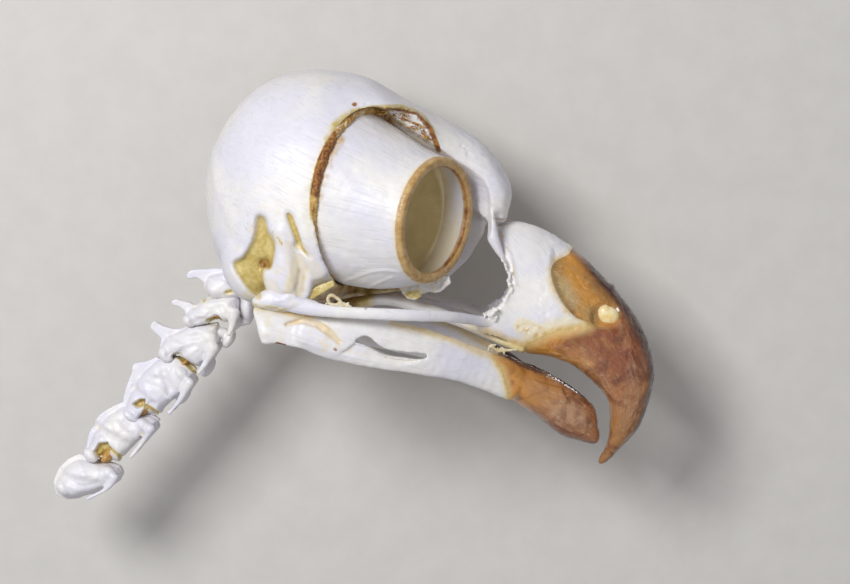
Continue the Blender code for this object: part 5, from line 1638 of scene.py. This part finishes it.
def palate(bone):
    """The palatines and pterygoids, joined in the middle."""
    forms = both(limb(PALATINE), limb(PTERYGOID)) + [limb(VOMER)]
    obj = fused("palate_bone", forms, 0.2, smoothing=3)
    x = places(obj)[:, 0]
    # Painted shade, with some dried tissue: the back of the palate is tinted tan and dark; the front carries
    # dried tissue and cream.
    tissue = most(0.6 * smoothstep(x, 31.0, 39.0), 0.85 * smoothstep(-x, -21.0, -17.0))
    dark = 0.55 * smoothstep(-x, -19.0, -15.0)
    cream = most(cavities(obj)[2], smoothstep(x, 28.0, 36.0))
    finished(obj, bone, ["palate"], (tissue, dark, cream))


# Dried scraps. FLAKE_TAIL, FLAKE_THORN and PALATE_THREADS hold stations as limb takes them, the rest is
# outlines and lines of (x, z) points.

JOINT_BAND = [
    (9.7, 1.4), (10.4, 2.6), (12.0, 3.5), (13.7, 4.1), (14.0, 3.3), (12.2, 2.2), (10.7, 1.3), (9.9, 0.6),
]
PETAL = [
    (22.4, 4.2), (22.7, 2.6), (23.8, 1.1), (24.6, 0.6), (25.5, 0.7), (26.1, 1.6), (27.0, 2.4), (28.2, 3.0),
    (27.4, 4.2),
]
PETAL_SHEET = [
    (24.8, 3.8), (25.0, 2.0), (26.4, 1.6), (27.6, 1.9), (28.8, 1.8), (29.8, 2.4), (30.5, 3.2), (30.2, 4.2),
    (27.4, 4.6),
]
FLAKE_LOOP = [(13.0, 1.4), (13.4, 2.0), (14.2, 1.7), (14.9, 1.0), (14.3, 0.6), (13.4, 0.7), (13.0, 1.4)]
FLAKE_TAIL = [(14.6, -18.5, 0.9, 0.25, 0.3), (15.6, -18.5, 0.6, 0.3, 0.3), (16.4, -18.5, 0.25, 0.2, 0.2)]
FLAKE_THORN = [(15.7, -18.5, 0.6, 0.12, 0.16), (16.1, -18.6, 1.0, 0.1, 0.12)]
FLAKE_CRUMBS = [(13.0, 0.8), (15.0, 0.5), (16.8, 0.1), (19.4, 0.0)]
PETAL_CRUMBS = [(23.6, 1.3), (25.2, 0.9), (26.6, 2.4)]
PALATE_THREADS = [
    [(35.8, -6.0, -7.6, 0.16, 0.16), (36.1, -6.0, -6.4, 0.18, 0.18), (37.0, -6.0, -6.2, 0.16, 0.16)],
    [(36.3, -6.0, -6.5, 0.14, 0.14), (37.4, -6.1, -7.0, 0.16, 0.2), (38.8, -6.0, -6.9, 0.14, 0.12)],
    [(37.2, -6.0, -7.2, 0.2, 0.3), (38.6, -6.0, -7.0, 0.24, 0.34), (40.0, -6.0, -6.9, 0.2, 0.3)],
]


def scraps(bone, pale):
    """Shreds of dried tissue: the flake on the cheek bar, the torn petal under the ring, and others."""
    loop = [(x, -18.5, z, 0.26, 0.32) for x, z in FLAKE_LOOP]
    flake = [limb(loop, up=(0, 1, 0), sides=12, steps=5)]
    flake += [limb(FLAKE_TAIL, (0, 1, 0)), limb(FLAKE_THORN, (0, 1, 0))]
    flake += crumbs(FLAKE_CRUMBS, 16, 0.14, (0.1, 0.24), -18.7, -18.1, 8)
    scrap("cheek_flake", flake, pale, 0.11)
    petal = [slab(torn(PETAL, 0.35, 0.07, 12), -9.6, -8.9)]
    petal.append(slab(torn(PETAL_SHEET, 0.35, 0.09, 13), -9.1, -8.5))
    petal += crumbs(PETAL_CRUMBS, 8, 0.16, (0.1, 0.25), -9.8, -9.2, 12)
    scrap("ring_petal", petal, bone, 0.12, cream=0.7, bend=0.3, tissue=[(24.3, 1.5, 0.2), (25.4, 1.5, 0.35)])
    ends, corner = [(9.7, 1.2, 1.2), (14.0, 3.7, 0.6)], [(9.6, 1.3, 0.4), (9.9, 1.9, 0.2)]
    scrap("joint_band", [slab(JOINT_BAND, -17.3, -16.5)], bone, 0.14, tissue=ends, dark=corner)
    threads = [limb(thread, (0, 1, 0), 10) for thread in PALATE_THREADS]
    threads += crumbs([(36.4, -6.4), (38.6, -7.0)], 12, 0.2, (0.08, 0.2), -6.3, -5.8, 17)
    scrap("palate_shreds", threads, pale, 0.1)


def scrap(name, forms, material, grain, cream=0.0, dark=None, bend=0.05, tissue=None):
    """One loose piece, uneven and bent sideways, with its stains along lines."""
    obj = fused(name, forms, grain, smoothing=2, largest=False)
    points = places(obj)
    sway = bend * ripple(points, 3.0, 79)
    points = points + normals(obj) * (0.05 * ripple(points, 0.9, 77))[:, None]
    points[:, 1] += sway
    move(obj, points)
    points = places(obj)
    stain_and_shade = (
        0.8 * stroke(points, tissue, 0.8) if tissue else 0.0,
        stroke(points, dark, 0.4) if dark else 0.0,
        cream * patchy(points, 1.5, 78, -0.2, 0.3),
    )
    finished(obj, material, (), stain_and_shade)


# Neck.

VERTEBRAE = [
    dict(
        name="axis",
        plate=[
            (-9.6, 3.8), (-9.0, 4.4), (-7.0, 4.6), (-4.2, 4.7), (-2.4, 4.4), (-1.2, 2.0), (-1.8, 0.8),
            (-3.5, 0.5), (-5.5, 0.3), (-6.4, 0.8), (-6.9, 1.6), (-7.0, 2.6), (-8.0, 3.3), (-9.4, 3.1),
        ],
        flank=[
            (-6.2, 3.6), (-3.0, 4.2), (-0.8, 2.4), (-1.0, 0.4), (-3.5, 0.1), (-5.6, 0.2), (-6.6, 1.0),
            (-6.7, 2.2),
        ],
        lumps=[(-5.2, 1.6, 1.1), (-3.6, 3.2, 0.9)],
        lobe=(-2.2, -3.4, 1.3, 0.9),
        wide=2.6,
    ),
    dict(
        name="cervical_3",
        plate=[
            (-11.9, -0.3), (-11.2, 0.1), (-9.5, -0.4), (-8.0, -0.6), (-6.9, 0.3), (-3.5, 0.9), (-1.7, 1.0),
            (-1.6, -0.4), (-1.8, -2.4), (-3.5, -3.4), (-4.8, -3.1), (-6.3, -3.5), (-8.3, -3.6), (-9.5, -2.9),
            (-9.9, -1.7), (-10.8, -1.1), (-11.7, -0.9),
        ],
        flank=[
            (-8.8, -1.2), (-6.9, 0.0), (-3.5, 0.7), (-1.7, 0.8), (-1.6, -0.4), (-1.8, -2.8), (-3.3, -3.2),
            (-4.6, -2.7), (-6.5, -3.7), (-8.3, -4.1), (-9.6, -3.6), (-9.6, -2.4),
        ],
        lumps=[(-9.0, -3.1, 1.05), (-7.4, -2.4, 0.9), (-3.2, -1.2, 1.2)],
        needle=[(-2.3, -1.6, 1.0), (-2.5, -3.6, 0.6), (-3.0, -5.1, 0.32)],
        lobe=(-3.3, -6.0, 1.5, 0.85),
    ),
    dict(
        name="cervical_4",
        plate=[
            (-15.0, -3.7), (-14.5, -3.2), (-13.0, -4.1), (-11.5, -4.5), (-10.0, -4.3), (-9.0, -3.5),
            (-6.3, -3.6), (-4.9, -3.5), (-4.6, -5.9), (-5.5, -7.7), (-6.0, -8.7), (-7.4, -10.2), (-9.3, -9.5),
            (-10.8, -8.4), (-12.0, -8.5), (-13.3, -9.4), (-13.9, -8.4), (-13.7, -7.2), (-13.5, -5.9),
            (-14.3, -5.2), (-15.1, -4.4),
        ],
        flank=[
            (-12.4, -5.4), (-10.0, -4.6), (-9.0, -3.7), (-6.3, -3.7), (-4.9, -3.7), (-4.6, -5.9),
            (-5.5, -7.6), (-6.2, -9.0), (-7.6, -10.1), (-9.3, -9.4), (-10.8, -8.4), (-12.0, -8.5),
            (-13.2, -9.3), (-13.7, -8.4), (-13.3, -6.8),
        ],
        lumps=[(-12.6, -8.2, 1.2), (-10.4, -7.0, 1.1), (-6.0, -5.6, 1.3)],
        needle=[(-5.4, -7.0, 1.0), (-6.4, -9.2, 0.55), (-7.8, -11.1, 0.3)],
        lobe=(-6.5, -10.2, 1.7, 0.9),
    ),
    dict(
        name="cervical_5",
        plate=[
            (-18.0, -10.3), (-17.6, -9.6), (-15.6, -9.4), (-14.2, -8.7), (-13.2, -9.2), (-12.2, -8.5),
            (-10.7, -8.2), (-9.1, -9.3), (-8.0, -10.6), (-8.6, -12.2), (-9.5, -13.8), (-11.6, -15.0),
            (-13.1, -16.4), (-13.6, -17.4), (-14.6, -17.5), (-16.2, -17.2), (-17.1, -18.3), (-18.1, -19.0),
            (-19.1, -18.6), (-19.4, -17.2), (-19.3, -15.0), (-18.5, -12.2), (-17.9, -11.0),
        ],
        flank=[
            (-15.8, -10.8), (-14.2, -9.2), (-12.3, -8.7), (-10.7, -8.3), (-9.1, -9.4), (-8.1, -10.7),
            (-8.8, -12.2), (-9.7, -13.6), (-11.6, -15.0), (-13.1, -16.3), (-13.8, -17.2), (-15.2, -17.1),
            (-16.2, -16.9), (-17.1, -18.1), (-18.1, -18.8), (-18.9, -18.4), (-19.0, -17.0), (-18.4, -15.0),
            (-17.2, -12.6),
        ],
        lumps=[(-18.0, -17.6, 1.2), (-15.0, -13.6, 1.4), (-10.4, -11.0, 1.2), (-12.4, -14.2, 0.9)],
        needle=[(-9.0, -12.2, 0.9), (-10.2, -14.6, 0.45), (-11.5, -16.3, 0.28), (-12.1, -16.9, 0.38)],
        lobe=(-10.2, -14.4, 1.6, 0.9),
    ),
    dict(
        name="cervical_6",
        plate=[
            (-19.0, -15.4), (-20.9, -16.2), (-22.9, -17.4), (-23.9, -19.0), (-24.7, -20.8), (-25.1, -22.8),
            (-25.2, -24.8), (-24.2, -24.8), (-23.4, -23.9), (-21.4, -24.0), (-19.9, -24.6), (-18.6, -23.0),
            (-17.0, -21.4), (-15.6, -20.3), (-14.6, -19.5), (-13.7, -18.2), (-14.9, -17.4), (-16.3, -17.4),
            (-17.8, -16.6),
        ],
        flank=[
            (-19.2, -16.2), (-21.4, -17.6), (-22.9, -19.0), (-23.9, -20.8), (-24.7, -22.8), (-25.0, -24.7),
            (-24.2, -24.8), (-23.4, -23.9), (-21.4, -24.0), (-19.9, -24.6), (-18.6, -23.0), (-17.0, -21.4),
            (-15.6, -20.3), (-14.6, -19.5), (-13.9, -18.3), (-15.0, -17.6), (-16.6, -17.6), (-18.0, -16.8),
        ],
        lumps=[(-24.0, -23.4, 1.2), (-20.6, -19.6, 1.5), (-16.0, -18.9, 1.2)],
        needle=[(-14.9, -19.2, 0.9), (-16.2, -21.4, 0.42), (-17.9, -23.6, 0.28)],
    ),
    dict(
        name="cervical_7",
        plate=[
            (-26.0, -23.4), (-23.4, -24.4), (-21.9, -24.6), (-19.9, -25.2), (-19.4, -26.1), (-19.9, -27.5),
            (-21.2, -28.3), (-22.5, -28.8), (-24.5, -29.6), (-26.5, -30.2), (-28.0, -30.4), (-29.6, -29.6),
            (-30.0, -27.6), (-29.2, -25.6), (-27.8, -24.2),
        ],
        flank=[
            (-26.0, -24.2), (-23.4, -24.6), (-21.9, -24.8), (-19.9, -25.4), (-19.5, -26.1), (-20.0, -27.3),
            (-21.2, -28.1), (-22.5, -28.6), (-24.5, -29.4), (-26.5, -29.9), (-28.0, -30.0), (-29.3, -29.2),
            (-29.4, -27.6), (-28.4, -25.8), (-27.2, -24.8),
        ],
        lumps=[(-28.2, -28.4, 1.2), (-25.0, -26.4, 1.4), (-21.2, -26.2, 1.2)],
        needle=[(-20.4, -26.6, 0.8), (-21.6, -28.4, 0.4), (-24.6, -30.0, 0.28)],
    ),
]
JOINT_LINES = [
    [(-15.9, -15.8, 0.1), (-14.4, -16.7, 0.15), (-13.4, -17.6, 0.1)],
    [(-20.9, -22.4, 0.1), (-19.6, -23.6, 0.2), (-19.2, -24.9, 0.1)],
    [(-10.6, -8.5, 0.15), (-9.4, -9.5, 0.2), (-8.1, -10.9, 0.1)],
    [(-6.1, -3.2, 0.05), (-4.6, -2.9, 0.1)],
    [(-7.0, 0.0, 0.1), (-6.6, 0.6, 0.1)],
    [(-3.3, 1.2, 0.15), (-2.0, 1.6, 0.1)],
]
NECK_CREASES = [
    [(-8.3, -3.3, 0.05), (-6.0, -2.6, 0.15), (-4.9, -2.4, 0.05)],
    [(-8.4, -0.9, 0.05), (-6.0, -1.6, 0.15), (-4.2, -1.0, 0.05)],
    [(-12.0, -8.2, 0.05), (-10.3, -7.8, 0.1), (-8.3, -6.7, 0.05)],
    [(-11.8, -5.6, 0.05), (-9.4, -5.8, 0.25), (-7.6, -5.2, 0.05)],
    [(-15.2, -11.6, 0.05), (-12.9, -12.2, 0.3), (-11.4, -13.6, 0.1)],
    [(-12.8, -10.8, 0.05), (-12.0, -12.6, 0.15), (-11.9, -14.0, 0.05)],
    [(-17.4, -13.4, 0.05), (-16.2, -14.6, 0.3), (-14.6, -15.6, 0.1)],
    [(-23.4, -19.2, 0.05), (-21.0, -20.6, 0.3), (-18.6, -21.6, 0.1)],
    [(-19.4, -17.8, 0.05), (-17.8, -19.0, 0.25), (-16.4, -20.2, 0.1)],
    [(-28.0, -26.6, 0.05), (-25.4, -27.6, 0.3), (-23.0, -27.6, 0.1)],
]
NECK_HOLES = [
    [(-17.6, -15.7), (-16.6, -14.9), (-15.8, -14.9), (-15.8, -15.9), (-16.9, -16.2)],
    [(-23.4, -22.8), (-22.7, -21.6), (-21.4, -21.4), (-20.9, -22.3), (-21.4, -23.6), (-22.9, -23.7)],
]
ATLAS_ARCH = [(-0.4, 0, -3.0, 1.2, 0.8), (-2.0, 0, -3.6, 0.8, 0.6)]

# Ligament between the neck bones: place (x, z), half length, slope in degrees and half height.
LIGAMENTS = [
    ((-15.6, -16.3), 1.9, -38, 0.8),
    ((-21.2, -23.4), 2.2, -38, 0.9),
    ((-9.8, -9.4), 1.3, -42, 0.4),
    ((-4.6, -2.4), 1.1, -20, 0.4),
    ((-2.6, 1.0), 1.2, 10, 0.5),
]


def vertebra(name, plate, flank, lumps=(), needle=None, lobe=None, wide=2.9):
    """A neck bone: a thin middle plate with its spine, flanks on both sides, lumps of (x, z, radius),
    a needle through (x, z, half size) points and a lobe (x, z, half length, half height) under its front."""
    forms = [slab(plate, -0.8, 0.8), pillow(flank, wide + 0.6)]
    for x, z, radius in lumps:
        forms += both(ball((x, -wide * 0.8, z), (radius * 1.1, 1.1, radius * 0.8), (0, 40, 0)))
    if needle:
        forms += both(limb([(x, -wide + 0.1, z, size, size) for x, z, size in needle], (0, 1, 0), sides=12))
    if lobe:
        x, z, across, depth = lobe
        forms.append(ball((x, 0, z), (across, 1.7, depth), (0, -60, 0)))
        forms.append(ball((x - 1.4, 0, z + 1.0), (across, 1.3, depth)))
    return fused(name, forms, NECK_GRAIN, smoothing=6)


def neck(bone):
    """The seven neck bones, with their joint lines, creases and openings."""
    atlas = fused("atlas_bone", [ball((-0.3, 0, -0.9), (1.2, 3.0, 2.5)), limb(ATLAS_ARCH)], 0.18)
    finished(atlas, bone, ["atlas"], cavities(atlas))
    for row in VERTEBRAE:
        obj = vertebra(**{**row, "name": row["name"] + "_bone"})
        points = places(obj)
        side = right(points)
        rise = 0.06 * ripple(points, 4.4, 81) + 0.012 * ripple(points, 0.9, 82)
        holes = sum(region(side, hole, 0.5) for hole in NECK_HOLES) * smoothstep(-side[:, 1], 1.0, 2.0)
        lines = sum(stroke(side, line, 0.25) for line in JOINT_LINES)
        creases = sum(stroke(side, line, 0.9) for line in NECK_CREASES)
        points = points + normals(obj) * (rise - 0.28 * lines - 0.34 * creases)[:, None]
        points[:, 1] -= np.sign(points[:, 1]) * 1.4 * holes
        move(obj, points)
        tissue, dark, cream = cavities(obj, 0.55)
        tissue = most(tissue, 0.8 * lines, holes)
        dark = most(dark, 0.4 * holes * patchy(points, 1.2, 83, 0.0, 0.4))
        cream = most(cream, 0.8 * sum(stroke(side, line, 0.9) for line in JOINT_LINES))
        finished(obj, bone, [row["name"]], (tissue, dark, cream))


def ligaments(amber):
    """Amber ligament left between the neck bones."""
    forms = [ball((x, 0, z), (reach, 2.6, thick), (0, slope, 0)) for (x, z), reach, slope, thick in LIGAMENTS]
    scrap("neck_ligament", forms, amber, 0.16)


# Assembly.


def set_stage():
    """A plain pale floor, soft lights and the camera."""
    yaw, down = math.radians(CAMERA_YAW_DEG), math.radians(CAMERA_DOWN_DEG)
    ahead = Vector((-math.sin(yaw) * math.cos(down), math.cos(yaw) * math.cos(down), -math.sin(down)))
    aside = ahead.cross(Vector((0, 0, 1))).normalized()
    above = aside.cross(ahead)
    place = (Vector(CAMERA_TARGET) - ahead * CAMERA_DISTANCE) * MM
    turn = Matrix((aside, above, -ahead)).transposed().to_4x4()
    data = bpy.data.cameras.new("camera")
    data.sensor_width = SENSOR
    data.lens = SENSOR * CAMERA_DISTANCE / FRAME_WIDTH
    data.clip_start = 0.01
    camera = added("camera", data)
    camera.matrix_world = LIE @ Matrix.Translation(place) @ turn
    bpy.context.scene.camera = camera

    goal = LIE @ (Vector(LIGHT_TARGET) * MM)
    for name, place, power, size in LIGHTS:
        data = bpy.data.lights.new(name, "AREA")
        data.energy = power
        data.size = size
        light = added(name, data)
        start = LIE @ (Vector(place) * MM)
        light.location = start
        light.rotation_euler = (goal - start).to_track_quat("-Z", "Y").to_euler()

    world = bpy.data.worlds.new("studio")
    world.use_nodes = True
    sky = world.node_tree.nodes["Background"].inputs
    sky["Color"].default_value = SKY_COLOUR
    sky["Strength"].default_value = SKY_STRENGTH
    bpy.context.scene.world = world
    bpy.context.scene.view_settings.view_transform = "Standard"

    corners = [(-1, -1), (1, -1), (1, 1), (-1, 1)]
    floor = raw_object("floor", [(x * FLOOR_REACH, y * FLOOR_REACH, 0) for x, y in corners], [(0, 1, 2, 3)])
    floor.data.materials.append(floor_material())


def main():
    bone = bone_material("bone_surface")
    bill_bone = bone_material("bill_bone_surface", 0.3, STAIN_GOLD, STAIN_PALE)
    tube = bone_material("tube_surface", 0.22, RIM_BROWN, RIM_TAN)
    upper_horn = horn_material("upper_horn", *UPPER_HORN)
    lower_horn = horn_material("lower_horn", *LOWER_HORN)
    amber = tissue_material("dried_amber", *AMBER)
    pale = tissue_material("dried_pale", *SHRED, 0.4)
    plug = tissue_material("nostril_paste", *PASTE, 0.16, 0.2)
    set_stage()
    braincase(bone)
    eye_tube(tube)
    fundus(fundus_material())
    orbit_tissue(amber)
    bill = upper_bill(bill_bone, upper_horn)
    nostril_plugs(bill, plug)
    lower_bill(bill_bone, lower_horn)
    jaw_joint(bone)
    cheek_bars(bone)
    palate(bone)
    scraps(bone, pale)
    neck(bone)
    ligaments(amber)


main()
